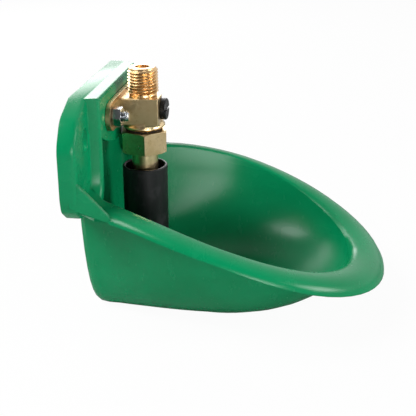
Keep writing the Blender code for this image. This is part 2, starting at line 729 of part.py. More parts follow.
def inset(outline, distance):
    """The outline, which runs clockwise seen from the front, moved inward by a distance."""
    moved = []
    count = len(outline)
    for index in range(count):
        before = Vector(outline[index - 1])
        here = Vector(outline[index])
        after = Vector(outline[(index + 1) % count])
        first = (here - before).normalized()
        second = (after - here).normalized()
        bisector = (Vector((first.y, -first.x)) + Vector((second.y, -second.x))).normalized()
        spread = max(bisector.dot(Vector((first.y, -first.x))), INSET_LEAST_SHARE)
        moved.append(tuple(here + bisector * (distance / spread)))
    return moved


def wall_plate():
    """The bowl itself starts as the plate that screws to the wall."""
    item = prism("bowl", plate_outline(), face_front, 0.0, PLATE_DEPTH)
    front_y = spot(PLATE_DEPTH, 0.0, 0.0).y
    bm = bmesh.new()
    bm.from_mesh(item.data)
    upright = [edge for edge in bm.edges if abs(edge.verts[0].co.y - edge.verts[1].co.y) > PLATE_DEPTH / 2]
    over_heel = [edge for edge in upright if edge.verts[0].co.z > PLATE_SIDE_BOTTOM_UP + WELD_DISTANCE]
    shoulders = [edge for edge in over_heel if edge.verts[0].co.z < PLATE_TOP_UP - WELD_DISTANCE]
    heels = [edge for edge in upright if edge.verts[0].co.z < PLATE_SIDE_BOTTOM_UP + WELD_DISTANCE]
    bmesh.ops.bevel(bm, geom=shoulders, offset=PLATE_CORNER_ROUND, segments=3, profile=0.5, affect="EDGES")
    bmesh.ops.bevel(bm, geom=heels, offset=PLATE_HEEL_ROUND, segments=2, profile=0.5, affect="EDGES")
    front_edges = [edge for edge in bm.edges if all(abs(vert.co.y - front_y) < WELD_DISTANCE for vert in edge.verts)]
    bmesh.ops.bevel(bm, geom=front_edges, offset=PLATE_EDGE_ROUND, segments=3, profile=0.5, affect="EDGES")
    bm.to_mesh(item.data)
    bm.free()
    return item


def plate_hollow():
    return prism("plate_hollow", inset(plate_outline(), BOWL_WALL), face_front, -CUT_OVERRUN, PLATE_DEPTH - BOWL_WALL)


def valve_pad():
    """Raised block behind the valve, narrower at its front than at its foot."""
    top_up = PLATE_TOP_UP - PAD_TOP_SINK
    lower = arch_points(PAD_BASE_HALF_WIDTH, -CUT_OVERRUN)
    outline = lower + [(PAD_BASE_HALF_WIDTH, top_up), (-PAD_BASE_HALF_WIDTH, top_up)]
    item = prism("valve_pad", outline, face_front, PLATE_DEPTH - BOWL_WALL / 2, PAD_OUT)
    front_y = spot(PAD_OUT, 0.0, 0.0).y
    narrowing = PAD_FRONT_HALF_WIDTH / PAD_BASE_HALF_WIDTH
    bm = bmesh.new()
    bm.from_mesh(item.data)
    for vert in bm.verts:
        if abs(vert.co.y - front_y) < WELD_DISTANCE:
            vert.co.x *= narrowing
    edges = []
    for edge in bm.edges:
        at_front = all(abs(vert.co.y - front_y) < WELD_DISTANCE for vert in edge.verts)
        upper = max(vert.co.z for vert in edge.verts) > top_up - WELD_DISTANCE
        if at_front and upper:
            edges.append(edge)
    bmesh.ops.bevel(bm, geom=edges, offset=PAD_EDGE_ROUND, segments=3, profile=0.5, affect="EDGES")
    bm.to_mesh(item.data)
    bm.free()
    return item


def pad_hollow():
    half_width = PAD_FRONT_HALF_WIDTH - PAD_SIDE_WALL
    top_up = PLATE_TOP_UP - PAD_TOP_SINK - PAD_SIDE_WALL
    outline = arch_points(half_width, PAD_LOWER_WALL) + [(half_width, top_up), (-half_width, top_up)]
    return prism("pad_hollow", outline, face_front, PLATE_DEPTH - BOWL_WALL * 2, PAD_WALL_BACK_OUT)


def recess_walls():
    half_width = CREST_START_SIDE + RECESS_WALL
    outline = arch_points(half_width, BOWL_WALL) + [(half_width, RECESS_BOTTOM_UP), (-half_width, RECESS_BOTTOM_UP)]
    return prism("recess_walls", outline, face_front, RECESS_BACK_OUT, PLATE_DEPTH - BOWL_WALL / 2)


def space_over_arch():
    half_width = CREST_START_SIDE + PLATE_DEPTH
    top_up = max(OPEN_TOP_UP, arch_height(half_width)) + CUT_OVERRUN
    outline = arch_points(half_width, 0.0) + [(half_width, top_up), (-half_width, top_up)]
    return prism("space_over_arch", outline, face_front, -CUT_OVERRUN, BOWL_LENGTH + CUT_OVERRUN)


def gusset(name, hand):
    """Thin web from the plate's corner down to the rim, drawn out and up and set at a slant."""
    back_out = GUSSET_BACK_OUT
    bm = bmesh.new()
    slant = (GUSSET_RIM_SIDE - GUSSET_PLATE_SIDE) / (GUSSET_RIM_OUT - back_out)
    outline = [
        (back_out, GUSSET_PLATE_TOP_UP),
        (GUSSET_RIM_OUT, GUSSET_RIM_TOP_UP),
        (GUSSET_RIM_OUT, GUSSET_RIM_BOTTOM_UP),
        (back_out, GUSSET_PLATE_BOTTOM_UP),
    ]
    inner = []
    for out, up in outline:
        middle = GUSSET_PLATE_SIDE + slant * (out - back_out)
        inner.append(bm.verts.new(spot(out, hand * (middle - GUSSET_WALL / 2), up)))
    face = bm.faces.new(inner)
    moved = bmesh.ops.extrude_face_region(bm, geom=[face])
    lifted = [item for item in moved["geom"] if isinstance(item, bmesh.types.BMVert)]
    bmesh.ops.translate(bm, vec=(hand * GUSSET_WALL, 0.0, 0.0), verts=lifted)
    bmesh.ops.recalc_face_normals(bm, faces=bm.faces[:])
    return add_object(name, bm)


def leg_section(spread_front, spread_heel, spread_inner):
    """Level section of a leg: side and out of its corners, with the pad's rounded front edge."""
    slope = (PAD_BASE_HALF_WIDTH - PAD_FRONT_HALF_WIDTH) / (PAD_OUT - PLATE_DEPTH + BOWL_WALL / 2)
    heel_out = PLATE_DEPTH + LEG_HEEL_RISE
    heel_side = PAD_FRONT_HALF_WIDTH + slope * (PAD_OUT - heel_out)
    corner = Vector((PAD_FRONT_HALF_WIDTH, PAD_OUT))
    side_start = corner + Vector((slope * PAD_EDGE_ROUND, -PAD_EDGE_ROUND))
    front_end = corner - Vector((PAD_EDGE_ROUND, 0.0))
    pulls = (side_start.lerp(corner, LEG_ROUND_PULL_SHARE), front_end.lerp(corner, LEG_ROUND_PULL_SHARE))
    round_edge = [side_start, *pulls, front_end]
    section = [Vector((LEG_BACK_SIDE + spread_inner / 2, LEG_BACK_OUT))]
    root_side = CREST_START_SIDE + LEG_ROOT_LAP
    section.append(Vector((root_side, LEG_BACK_OUT)))
    section.append(Vector((root_side, PLATE_DEPTH - LEG_ROOT_SINK)))
    section.append(Vector((heel_side + spread_heel, heel_out)))
    for step in range(LEG_ROUND_STEPS + 1):
        section.append(bezier(round_edge, step / LEG_ROUND_STEPS) + Vector((spread_front, 0.0)))
    section.append(Vector((PAD_FRONT_HALF_WIDTH - LEG_WALL + spread_inner, PAD_OUT)))
    return section


def pad_leg(name, hand):
    """Upright beside the recess, flush with the pad's side, that flares into the rim at its foot."""
    rings = []
    tip = []
    for point in leg_section(LEG_FRONT_SPREADS[0], LEG_HEEL_SPREADS[0], LEG_INNER_SPREADS[0]):
        wall_side = CREST_START_SIDE + LEG_TIP_DEPTH + LEG_TIP_LEAN_SHARE * (point.y - PLATE_DEPTH)
        tip.append((mix(wall_side, point.x, LEG_TIP_BREADTH_SHARE), point.y, LEG_TIP_UP))
    rings.append(tip)
    for up, front, heel, inner in zip(LEG_UPS, LEG_FRONT_SPREADS, LEG_HEEL_SPREADS, LEG_INNER_SPREADS):
        rings.append([(point.x, point.y, up) for point in leg_section(front, heel, inner)])
    top = []
    arch_slope = 2 * (PAD_SIDE_UP - PAD_MIDDLE_UP) / PAD_FRONT_HALF_WIDTH
    for point in leg_section(0.0, 0.0, 0.0):
        up = PAD_SIDE_UP + LEG_TOP_LAP + arch_slope * (point.x - PAD_FRONT_HALF_WIDTH)
        top.append((point.x, point.y, up))
    rings.append(top)
    bm = bmesh.new()
    grid = [[bm.verts.new(spot(out, hand * side, up)) for side, out, up in ring_points] for ring_points in rings]
    count = len(top)
    for low, high in zip(grid, grid[1:]):
        for index in range(count):
            after = (index + 1) % count
            bm.faces.new((low[index], low[after], high[after], high[index]))
    bm.faces.new(grid[0])
    bm.faces.new(list(reversed(grid[-1])))
    bmesh.ops.recalc_face_normals(bm, faces=bm.faces[:])
    return add_object(name, bm, smooth=True)


def stadium(half_length, radius, centre=(0.0, 0.0), upright=False):
    """Outline of a slot or an oval plate with round ends."""
    reach = half_length - radius
    points = []
    for end, start in ((1.0, -math.pi / 2), (-1.0, math.pi / 2)):
        for step in range(9):
            angle = start + math.pi * step / 8
            along = end * reach + radius * math.cos(angle)
            across = radius * math.sin(angle)
            a, b = (-across, along) if upright else (along, across)
            points.append((centre[0] + a, centre[1] + b))
    return points


def bolt_hole(name, hand, start_out, end_out):
    place = spot(start_out, hand * BOLT_SIDE, FLANGE_UP)
    length = end_out - start_out
    profile = [(0.0, length), (BOLT_HOLE_RADIUS, length), (BOLT_HOLE_RADIUS, 0.0), (0.0, 0.0)]
    return turned(name, profile, place, steps=SMALL_ROUND_STEPS, along_y=True)


def build_bowl():
    bowl = wall_plate()
    combine(bowl, valve_pad(), "UNION")
    combine(bowl, plate_hollow(), "DIFFERENCE")
    combine(bowl, pad_hollow(), "DIFFERENCE")
    combine(bowl, recess_walls(), "UNION")
    combine(bowl, outer_basin(), "UNION")
    combine(bowl, rim_flange(), "UNION")
    for hand, word in ((-1.0, "left"), (1.0, "right")):
        combine(bowl, gusset("gusset_" + word, hand), "UNION")
    inside = inner_basin()
    combine(inside, space_over_arch(), "DIFFERENCE")
    combine(bowl, inside, "DIFFERENCE")
    for hand, word in ((-1.0, "left"), (1.0, "right")):
        combine(bowl, pad_leg("pad_leg_" + word, hand), "UNION")
        outline = stadium(SLOT_LENGTH / 2, SLOT_WIDTH / 2, (hand * SLOT_SIDE, SLOT_UP), upright=True)
        slot = prism("slot_" + word, outline, face_front, -CUT_OVERRUN, PLATE_DEPTH + CUT_OVERRUN)
        combine(bowl, slot, "DIFFERENCE")
        hole = bolt_hole("pad_hole_" + word, hand, PAD_WALL_BACK_OUT - CUT_OVERRUN, PAD_OUT + CUT_OVERRUN)
        combine(bowl, hole, "DIFFERENCE")
    return bowl


# Valve body
def block_outline():
    """The block's plan: flat sides back to the flange and a round nose."""
    points = [(BLOCK_HALF_WIDTH, FLANGE_FRONT_OUT - FLANGE_THICKNESS / 2)]
    for step in range(17):
        angle = math.pi * step / 16
        points.append((BLOCK_HALF_WIDTH * math.cos(angle), VALVE_OUT + BLOCK_HALF_WIDTH * math.sin(angle)))
    points.append((-BLOCK_HALF_WIDTH, FLANGE_FRONT_OUT - FLANGE_THICKNESS / 2))
    return points


def thread_profile():
    """Plain tapered blank of the inlet thread with its neck, from top to bottom."""
    shoulder_up = THREAD_TOP_UP - (THREAD_TOP_RADIUS - THREAD_CHAMFER_RADIUS)
    neck_top_up = BLOCK_TOP_UP + THREAD_NECK_HEIGHT
    return [
        (0.0, THREAD_TOP_UP),
        (THREAD_CHAMFER_RADIUS, THREAD_TOP_UP),
        (THREAD_TOP_RADIUS, shoulder_up),
        (THREAD_RADIUS, neck_top_up + THREAD_DEPTH),
        (THREAD_RADIUS - THREAD_DEPTH, neck_top_up),
        (THREAD_RADIUS - THREAD_DEPTH, BLOCK_TOP_UP - COLLAR_ROUND),
        (0.0, BLOCK_TOP_UP - COLLAR_ROUND),
    ]


def collar_profile():
    top = BLOCK_BOTTOM_UP + COLLAR_ROUND
    return [
        (0.0, top),
        (COLLAR_RADIUS - COLLAR_ROUND, top),
        (COLLAR_RADIUS - COLLAR_ROUND, BLOCK_BOTTOM_UP),
        (COLLAR_RADIUS, BLOCK_BOTTOM_UP - COLLAR_ROUND),
        (COLLAR_RADIUS, COLLAR_BOTTOM_UP + COLLAR_ROUND),
        (COLLAR_RADIUS - COLLAR_ROUND, COLLAR_BOTTOM_UP),
        (0.0, COLLAR_BOTTOM_UP),
    ]


def waterway_profile():
    return [
        (0.0, THREAD_TOP_UP + CUT_OVERRUN),
        (INLET_RADIUS, THREAD_TOP_UP + CUT_OVERRUN),
        (INLET_RADIUS, INLET_STEP_UP),
        (INLET_LOWER_RADIUS, INLET_STEP_UP),
        (INLET_LOWER_RADIUS, CHAMBER_TOP_UP),
        (CHAMBER_RADIUS, CHAMBER_TOP_UP),
        (CHAMBER_RADIUS, LOWER_BORE_TOP_UP),
        (LOWER_BORE_RADIUS, LOWER_BORE_TOP_UP),
        (LOWER_BORE_RADIUS, COLLAR_BOTTOM_UP - CUT_OVERRUN),
        (0.0, COLLAR_BOTTOM_UP - CUT_OVERRUN),
    ]


def build_valve_body():
    axis = spot(VALVE_OUT, 0.0, 0.0)
    body = prism("valve_body", block_outline(), lambda side, out, up: spot(out, side, up), BLOCK_BOTTOM_UP, BLOCK_TOP_UP)
    edges = body.modifiers.new("Edges", "BEVEL")
    edges.width = BLOCK_EDGE_ROUND
    edges.segments = 1
    edges.limit_method = "ANGLE"
    edges.angle_limit = math.radians(60)
    flange = prism(
        "valve_flange",
        stadium(FLANGE_HALF_LENGTH, FLANGE_HEIGHT / 2, (0.0, FLANGE_UP)),
        face_front,
        FLANGE_BACK_OUT,
        FLANGE_FRONT_OUT,
    )
    combine(body, turned("inlet_thread", thread_profile(), axis), "UNION")
    combine(body, turned("outlet_collar", collar_profile(), axis), "UNION")
    combine(body, turned("waterway", waterway_profile(), axis), "DIFFERENCE")
    combine(body, flange, "UNION")
    bore_start = spot(REGULATOR_TIP_OUT - CUT_OVERRUN, 0.0, REGULATOR_UP)
    bore_length = BLOCK_FRONT_OUT - REGULATOR_TIP_OUT + 2 * CUT_OVERRUN
    bore = [
        (0.0, bore_length),
        (REGULATOR_BORE_RADIUS, bore_length),
        (REGULATOR_BORE_RADIUS, 0.0),
        (0.0, 0.0),
    ]
    combine(body, turned("regulator_bore", bore, bore_start, SMALL_ROUND_STEPS, along_y=True), "DIFFERENCE")
    for hand, word in ((-1.0, "left"), (1.0, "right")):
        hole = bolt_hole(
            "flange_hole_" + word, hand, FLANGE_BACK_OUT - CUT_OVERRUN, FLANGE_FRONT_OUT + CUT_OVERRUN
        )
        combine(body, hole, "DIFFERENCE")


def ring(name, inner, outer, bottom, top, steps=ROUND_STEPS):
    """A flat washer or gasket round the valve axis."""
    profile = [(outer, top), (outer, bottom), (inner, bottom), (inner, top)]
    return turned(name, profile, spot(VALVE_OUT, 0.0, 0.0), steps, closed=True)


def build_outlet():
    axis = spot(VALVE_OUT, 0.0, 0.0)
    nut_place = spot(VALVE_OUT, 0.0, NUT_BOTTOM_UP)
    nipple = hexagon("outlet_nipple", NUT_FLATS, NUT_HEIGHT, NUT_CHAMFER, nut_place, corner_turn=NUT_TURN)
    pipe = [
        (0.0, SHANK_TOP_UP),
        (SHANK_RADIUS - SPIGOT_EDGE, SHANK_TOP_UP),
        (SHANK_RADIUS, SHANK_TOP_UP - SPIGOT_EDGE),
        (SHANK_RADIUS, NUT_TOP_UP - SPIGOT_EDGE),
        (SPIGOT_RADIUS, NUT_BOTTOM_UP + SPIGOT_EDGE),
        (SPIGOT_RADIUS, SPIGOT_BOTTOM_UP + SPIGOT_EDGE),
        (SPIGOT_RADIUS - SPIGOT_EDGE, SPIGOT_BOTTOM_UP),
        (0.0, SPIGOT_BOTTOM_UP),
    ]
    combine(nipple, turned("nipple_pipe", pipe, axis), "UNION")
    bore = [
        (0.0, SHANK_TOP_UP + CUT_OVERRUN),
        (SPIGOT_BORE_TOP_RADIUS, SHANK_TOP_UP + CUT_OVERRUN),
        (SPIGOT_BORE_BOTTOM_RADIUS, SPIGOT_BOTTOM_UP - CUT_OVERRUN),
        (0.0, SPIGOT_BOTTOM_UP - CUT_OVERRUN),
    ]
    combine(nipple, turned("nipple_bore", bore, axis), "DIFFERENCE")
    ring("outlet_gasket", SHANK_RADIUS + FIT_GAP, GASKET_RADIUS, GASKET_BOTTOM_UP, GASKET_TOP_UP)
    ring("seat_seal", SPIGOT_BORE_TOP_RADIUS, SHANK_RADIUS, SEAT_SEAL_BOTTOM_UP, SEAT_SEAL_TOP_UP)


def build_stem():
    axis = spot(VALVE_OUT, 0.0, 0.0)
    ring("stem_seal_disc", STEM_RADIUS + SEAL_DISC_PLAY, SEAL_DISC_RADIUS, SEAL_DISC_BOTTOM_UP, SEAL_DISC_TOP_UP)
    stem = [
        (0.0, STEM_TOP_UP),
        (STEM_PEG_RADIUS, STEM_TOP_UP),
        (STEM_PEG_RADIUS, STEM_HEAD_TOP_UP),
        (STEM_HEAD_RADIUS, STEM_HEAD_TOP_UP),
        (STEM_HEAD_RADIUS, STEM_HEAD_BOTTOM_UP),
        (STEM_RADIUS, STEM_HEAD_BOTTOM_UP),
        (STEM_RADIUS, STEM_SHOULDER_TOP_UP),
        (STEM_SHOULDER_RADIUS, STEM_SHOULDER_TOP_UP),
        (STEM_SHOULDER_RADIUS, STEM_SHOULDER_BOTTOM_UP),
        (STEM_RADIUS, STEM_SHOULDER_BOTTOM_UP),
        (STEM_RADIUS, STEM_BOTTOM_UP),
        (0.0, STEM_BOTTOM_UP),
    ]
    turned("valve_stem", stem, axis, SMALL_ROUND_STEPS)
    ring("spring_cup", STEM_PEG_RADIUS + FIT_GAP, CUP_RADIUS, CUP_BOTTOM_UP, CUP_TOP_UP, SMALL_ROUND_STEPS)
    nut_place = spot(VALVE_OUT, 0.0, STEM_NUT_BOTTOM_UP)
    nut = hexagon("stem_nut", STEM_NUT_FLATS, STEM_NUT_HEIGHT, BOLT_NUT_CHAMFER, nut_place)
    cut_hole(nut, "stem_nut_hole", STEM_RADIUS + FIT_GAP, STEM_NUT_HEIGHT, nut_place, False)


def cut_hole(item, name, radius, length, start, along_y):
    """A round hole right through a piece, from a point at its lower or back face."""
    profile = [
        (0.0, length + CUT_OVERRUN),
        (radius, length + CUT_OVERRUN),
        (radius, -CUT_OVERRUN),
        (0.0, -CUT_OVERRUN),
    ]
    combine(item, turned(name, profile, start, SMALL_ROUND_STEPS, along_y=along_y), "DIFFERENCE")


def build_spring():
    """Closed-end coil spring between the chamber's roof and the cup."""
    curve = bpy.data.curves.new("stem_spring", "CURVE")
    curve.dimensions = "3D"
    curve.bevel_depth = SPRING_WIRE_RADIUS
    curve.bevel_resolution = 2
    curve.use_fill_caps = True
    line = curve.splines.new("POLY")
    count = SPRING_TURNS * SPRING_STEPS
    line.points.add(count)
    low = SPRING_BOTTOM_UP + SPRING_WIRE_RADIUS
    high = SPRING_TOP_UP - SPRING_WIRE_RADIUS
    for index in range(count + 1):
        angle = math.tau * index / SPRING_STEPS
        level = mix(low, high, index / count)
        out = VALVE_OUT + SPRING_RADIUS * math.cos(angle)
        point = spot(out, SPRING_RADIUS * math.sin(angle), level)
        line.points[index].co = (*point, 1.0)
    holder = bpy.data.objects.new("stem_spring_curve", curve)
    CUTTERS.objects.link(holder)
    evaluated = holder.evaluated_get(bpy.context.evaluated_depsgraph_get())
    mesh = bpy.data.meshes.new_from_object(evaluated)
    bm = bmesh.new()
    bm.from_mesh(mesh)
    bpy.data.objects.remove(holder, do_unlink=True)
    add_object("stem_spring", bm, smooth=True)


def build_tube():
    axis = spot(VALVE_OUT, 0.0, 0.0)
    edge = TUBE_EDGE_ROUND
    ledge_radius = TUBE_RADIUS - TUBE_LEDGE_WALL
    profile = [
        (TUBE_RADIUS - edge, TUBE_TOP_UP),
        (TUBE_RADIUS, TUBE_TOP_UP - edge),
        (TUBE_RADIUS, TUBE_BOTTOM_UP + edge),
        (TUBE_RADIUS - edge, TUBE_BOTTOM_UP),
        (TUBE_BORE_RADIUS + edge, TUBE_BOTTOM_UP),
        (TUBE_BORE_RADIUS, TUBE_BOTTOM_UP + edge),
        (TUBE_BORE_RADIUS, TUBE_LEDGE_BOTTOM_UP),
        (ledge_radius, TUBE_LEDGE_BOTTOM_UP),
        (ledge_radius, TUBE_LEDGE_TOP_UP),
        (TUBE_BORE_RADIUS, TUBE_LEDGE_TOP_UP),
        (TUBE_BORE_RADIUS, TUBE_TOP_UP - edge),
        (TUBE_BORE_RADIUS + edge, TUBE_TOP_UP),
    ]
    turned("push_tube", profile, axis, closed=True)
    rim_inner = CARRIER_RADIUS - CARRIER_RING_WALL
    carrier = ring("tube_carrier", rim_inner, CARRIER_RADIUS, CARRIER_BOTTOM_UP, CARRIER_TOP_UP)
    hub = [
        (0.0, CARRIER_TOP_UP),
        (CARRIER_HUB_RADIUS, CARRIER_TOP_UP),
        (CARRIER_HUB_RADIUS, CARRIER_BOTTOM_UP),
        (0.0, CARRIER_BOTTOM_UP),
    ]
    for index in range(CARRIER_ARMS):
        arm = carrier_arm("carrier_arm_" + str(index + 1), math.tau * index / CARRIER_ARMS)
        combine(carrier, arm, "UNION")
    combine(carrier, turned("carrier_hub", hub, axis, SMALL_ROUND_STEPS), "UNION")
    hole_place = spot(VALVE_OUT, 0.0, CARRIER_BOTTOM_UP)
    cut_hole(carrier, "carrier_hole", STEM_RADIUS + FIT_GAP, CARRIER_HEIGHT, hole_place, False)


def carrier_arm(name, angle):
    bm = bmesh.new()
    bmesh.ops.create_cube(bm, size=1.0)
    length = CARRIER_RADIUS - CARRIER_RING_WALL / 2
    height = CARRIER_HEIGHT - CARRIER_RING_WALL
    bmesh.ops.scale(bm, vec=(length, CARRIER_ARM_WIDTH, height), verts=bm.verts[:])
    bmesh.ops.translate(bm, vec=(length / 2, 0.0, 0.0), verts=bm.verts[:])
    arm = add_object(name, bm)
    middle = spot(VALVE_OUT, 0.0, (CARRIER_TOP_UP + CARRIER_BOTTOM_UP) / 2)
    arm.matrix_world = Matrix.Translation(middle) @ Matrix.Rotation(angle, 4, "Z")
    return arm


def build_strainer():
    """Slotted cup that hangs by its rim on the step in the inlet."""
    axis = spot(VALVE_OUT, 0.0, 0.0)
    rim_radius = INLET_RADIUS - FIT_GAP
    cup_radius = INLET_LOWER_RADIUS - FIT_GAP
    rim_bottom = INLET_STEP_UP + FIT_GAP
    rim_top = rim_bottom + STRAINER_RIM_THICKNESS
    profile = [
        (cup_radius - STRAINER_WALL, rim_top),
        (rim_radius, rim_top),
        (rim_radius, rim_bottom),
        (cup_radius, rim_bottom),
        (cup_radius, STRAINER_BOTTOM_UP),
        (0.0, STRAINER_BOTTOM_UP),
        (0.0, STRAINER_BOTTOM_UP + STRAINER_WALL),
        (cup_radius - STRAINER_WALL, STRAINER_BOTTOM_UP + STRAINER_WALL),
    ]
    strainer = turned("inlet_strainer", profile, axis, SMALL_ROUND_STEPS, closed=True)
    slot_low = STRAINER_BOTTOM_UP + STRAINER_SLOT_MARGIN
    slot_high = rim_bottom - STRAINER_SLOT_MARGIN
    for index in range(STRAINER_SLOTS // 2):
        bm = bmesh.new()
        bmesh.ops.create_cube(bm, size=1.0)
        scale = (cup_radius * 2 + CUT_OVERRUN, STRAINER_SLOT_WIDTH, slot_high - slot_low)
        bmesh.ops.scale(bm, vec=scale, verts=bm.verts[:])
        cutter = add_object("strainer_slot_" + str(index + 1), bm)
        turn = Matrix.Rotation(math.tau * index / STRAINER_SLOTS, 4, "Z")
        middle = spot(VALVE_OUT, 0.0, (slot_low + slot_high) / 2)
        cutter.matrix_world = Matrix.Translation(middle) @ turn
        combine(strainer, cutter, "DIFFERENCE")


def build_regulator():
    """Slotted plug screw in the block's nose; its origin lies on the screw's axis."""
    place = spot(REGULATOR_TIP_OUT, 0.0, REGULATOR_UP)
    tip = REGULATOR_SHANK_OUT - REGULATOR_TIP_OUT
    head_back = REGULATOR_HEAD_BACK_OUT - REGULATOR_TIP_OUT
    head_front = REGULATOR_HEAD_FRONT_OUT - REGULATOR_TIP_OUT
    groove_middle = REGULATOR_RING_OUT - REGULATOR_TIP_OUT
    groove_half = REGULATOR_RING_WIRE_RADIUS + FIT_GAP
    groove_radius = REGULATOR_SHANK_RADIUS - 2 * REGULATOR_RING_WIRE_RADIUS - FIT_GAP
    profile = [
        (0.0, head_front),
        (REGULATOR_HEAD_RADIUS - REGULATOR_HEAD_ROUND, head_front),
        (REGULATOR_HEAD_RADIUS, head_front - REGULATOR_HEAD_ROUND),
        (REGULATOR_HEAD_RADIUS, head_back),
        (REGULATOR_SHANK_RADIUS, head_back),
        (REGULATOR_SHANK_RADIUS, groove_middle + groove_half),
        (groove_radius, groove_middle + groove_half),
        (groove_radius, groove_middle - groove_half),
        (REGULATOR_SHANK_RADIUS, groove_middle - groove_half),
        (REGULATOR_SHANK_RADIUS, tip),
        (REGULATOR_TIP_RADIUS, 0.0),
        (0.0, 0.0),
    ]
    screw = turned("regulator_screw", profile, place, SMALL_ROUND_STEPS, along_y=True)
    bm = bmesh.new()
    bmesh.ops.create_cube(bm, size=1.0)
    slot_size = (2 * REGULATOR_HEAD_RADIUS + CUT_OVERRUN, 2 * REGULATOR_SLOT_DEPTH, REGULATOR_SLOT_WIDTH)
    bmesh.ops.scale(bm, vec=slot_size, verts=bm.verts[:])
    slot = add_object("regulator_slot", bm)
    slot.matrix_world = Matrix.Translation(spot(REGULATOR_HEAD_FRONT_OUT, 0.0, REGULATOR_UP))
    combine(screw, slot, "DIFFERENCE")
    wire = REGULATOR_RING_WIRE_RADIUS
    middle_radius = groove_radius + FIT_GAP + wire
    section = []
    for step in range(10):
        angle = math.pi / 2 - math.tau * step / 10
        section.append((middle_radius + wire * math.cos(angle), wire * math.sin(angle)))
    ring_place = spot(REGULATOR_RING_OUT, 0.0, REGULATOR_UP)
    turned("regulator_ring", section, ring_place, SMALL_ROUND_STEPS, along_y=True, closed=True)


def hang_on_pivot():
    """Hangs the stem, tube and what moves with them on a point where the seal disc rocks."""
    pivot = bpy.data.objects.new("tube_pivot", None)
    pivot.empty_display_size = SEAL_DISC_RADIUS
    PIECES.objects.link(pivot)
    pivot.matrix_world = Matrix.Translation(spot(VALVE_OUT, 0.0, SEAL_DISC_BOTTOM_UP))
    bpy.context.view_layer.update()
    for name in TILTING_PIECES:
        piece = bpy.data.objects[name]
        piece.parent = pivot
        piece.matrix_parent_inverse = pivot.matrix_world.inverted()


def build_fixings():
    """The two bolts that clamp the valve flange to the pad, with washers and nuts."""
    for hand, word in ((-1.0, "left"), (1.0, "right")):
        side = hand * BOLT_SIDE
        head_place = spot(BOLT_HEAD_BACK_OUT, side, FLANGE_UP)
        bolt = hexagon(
            "mounting_bolt_" + word, BOLT_HEAD_FLATS, BOLT_HEAD_HEIGHT, BOLT_NUT_CHAMFER, head_place, along_y=True
        )
        length = BOLT_END_OUT - BOLT_HEAD_FRONT_OUT + BOLT_END_CHAMFER
        shank = [
            (0.0, length),
            (BOLT_RADIUS - BOLT_END_CHAMFER, length),
            (BOLT_RADIUS, length - BOLT_END_CHAMFER),
            (BOLT_RADIUS, 0.0),
            (0.0, 0.0),
        ]
        shank_place = spot(BOLT_HEAD_FRONT_OUT - BOLT_END_CHAMFER, side, FLANGE_UP)
        shank_item = turned("bolt_shank_" + word, shank, shank_place, SMALL_ROUND_STEPS, along_y=True)
        combine(bolt, shank_item, "UNION")
        washer = [
            (WASHER_RADIUS, WASHER_THICKNESS),
            (WASHER_RADIUS, 0.0),
            (BOLT_RADIUS + FIT_GAP, 0.0),
            (BOLT_RADIUS + FIT_GAP, WASHER_THICKNESS),
        ]
        washer_place = spot(BOLT_WASHER_BACK_OUT, side, FLANGE_UP)
        turned("bolt_washer_" + word, washer, washer_place, SMALL_ROUND_STEPS, along_y=True, closed=True)
        nut_place = spot(BOLT_NUT_BACK_OUT, side, FLANGE_UP)
        nut = hexagon(
            "mounting_nut_" + word, BOLT_HEAD_FLATS, BOLT_NUT_HEIGHT, BOLT_NUT_CHAMFER, nut_place, along_y=True
        )
        cut_hole(nut, "nut_hole_" + word, BOLT_RADIUS + FIT_GAP, BOLT_NUT_HEIGHT, nut_place, True)


clear_scene()
PIECES = make_collection("Livestock drinking bowl")
CUTTERS = make_collection("Cutters")
GREEN_PLASTIC = make_material("green_plastic", (0.0, 0.27, 0.10), 0.0, 0.25)
BRASS = make_material("brass", (0.62, 0.44, 0.18), 1.0, 0.35)
ZINC = make_material("zinc_plated_steel", (0.62, 0.64, 0.66), 1.0, 0.3)
BLACK_PLASTIC = make_material("black_plastic", (0.012, 0.012, 0.014), 0.0, 0.45)
BLACK_RUBBER = make_material("black_rubber", (0.02, 0.02, 0.02), 0.0, 0.7)
STAINLESS = make_material("stainless_steel", (0.58, 0.58, 0.57), 1.0, 0.28)
WHITE_PLASTIC = make_material("white_plastic", (0.8, 0.8, 0.76), 0.0, 0.4)
FINISHES = {
    "bowl": GREEN_PLASTIC,
    "valve_body": BRASS,
    "outlet_nipple": BRASS,
    "outlet_gasket": BLACK_RUBBER,
    "seat_seal": BLACK_RUBBER,
    "stem_seal_disc": BLACK_RUBBER,
    "valve_stem": STAINLESS,
    "spring_cup": WHITE_PLASTIC,
    "stem_spring": STAINLESS,
    "stem_nut": STAINLESS,
    "tube_carrier": BLACK_PLASTIC,
    "push_tube": BLACK_PLASTIC,
    "inlet_strainer": WHITE_PLASTIC,
    "regulator_screw": BLACK_PLASTIC,
    "regulator_ring": BLACK_RUBBER,
    "mounting_bolt_left": ZINC,
    "mounting_bolt_right": ZINC,
    "bolt_washer_left": ZINC,
    "bolt_washer_right": ZINC,
    "mounting_nut_left": ZINC,
    "mounting_nut_right": ZINC,
}
TILTING_PIECES = ("stem_seal_disc", "valve_stem", "spring_cup", "stem_nut", "tube_carrier", "push_tube")
build_bowl()
build_valve_body()
build_outlet()
build_stem()
build_spring()
build_tube()
build_strainer()
build_regulator()
build_fixings()
hang_on_pivot()
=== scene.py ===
"""A green wall-mounted drinking bowl with its brass push-tube valve, set up for a picture."""
import math

import bmesh
import bpy
from mathutils import Matrix, Vector


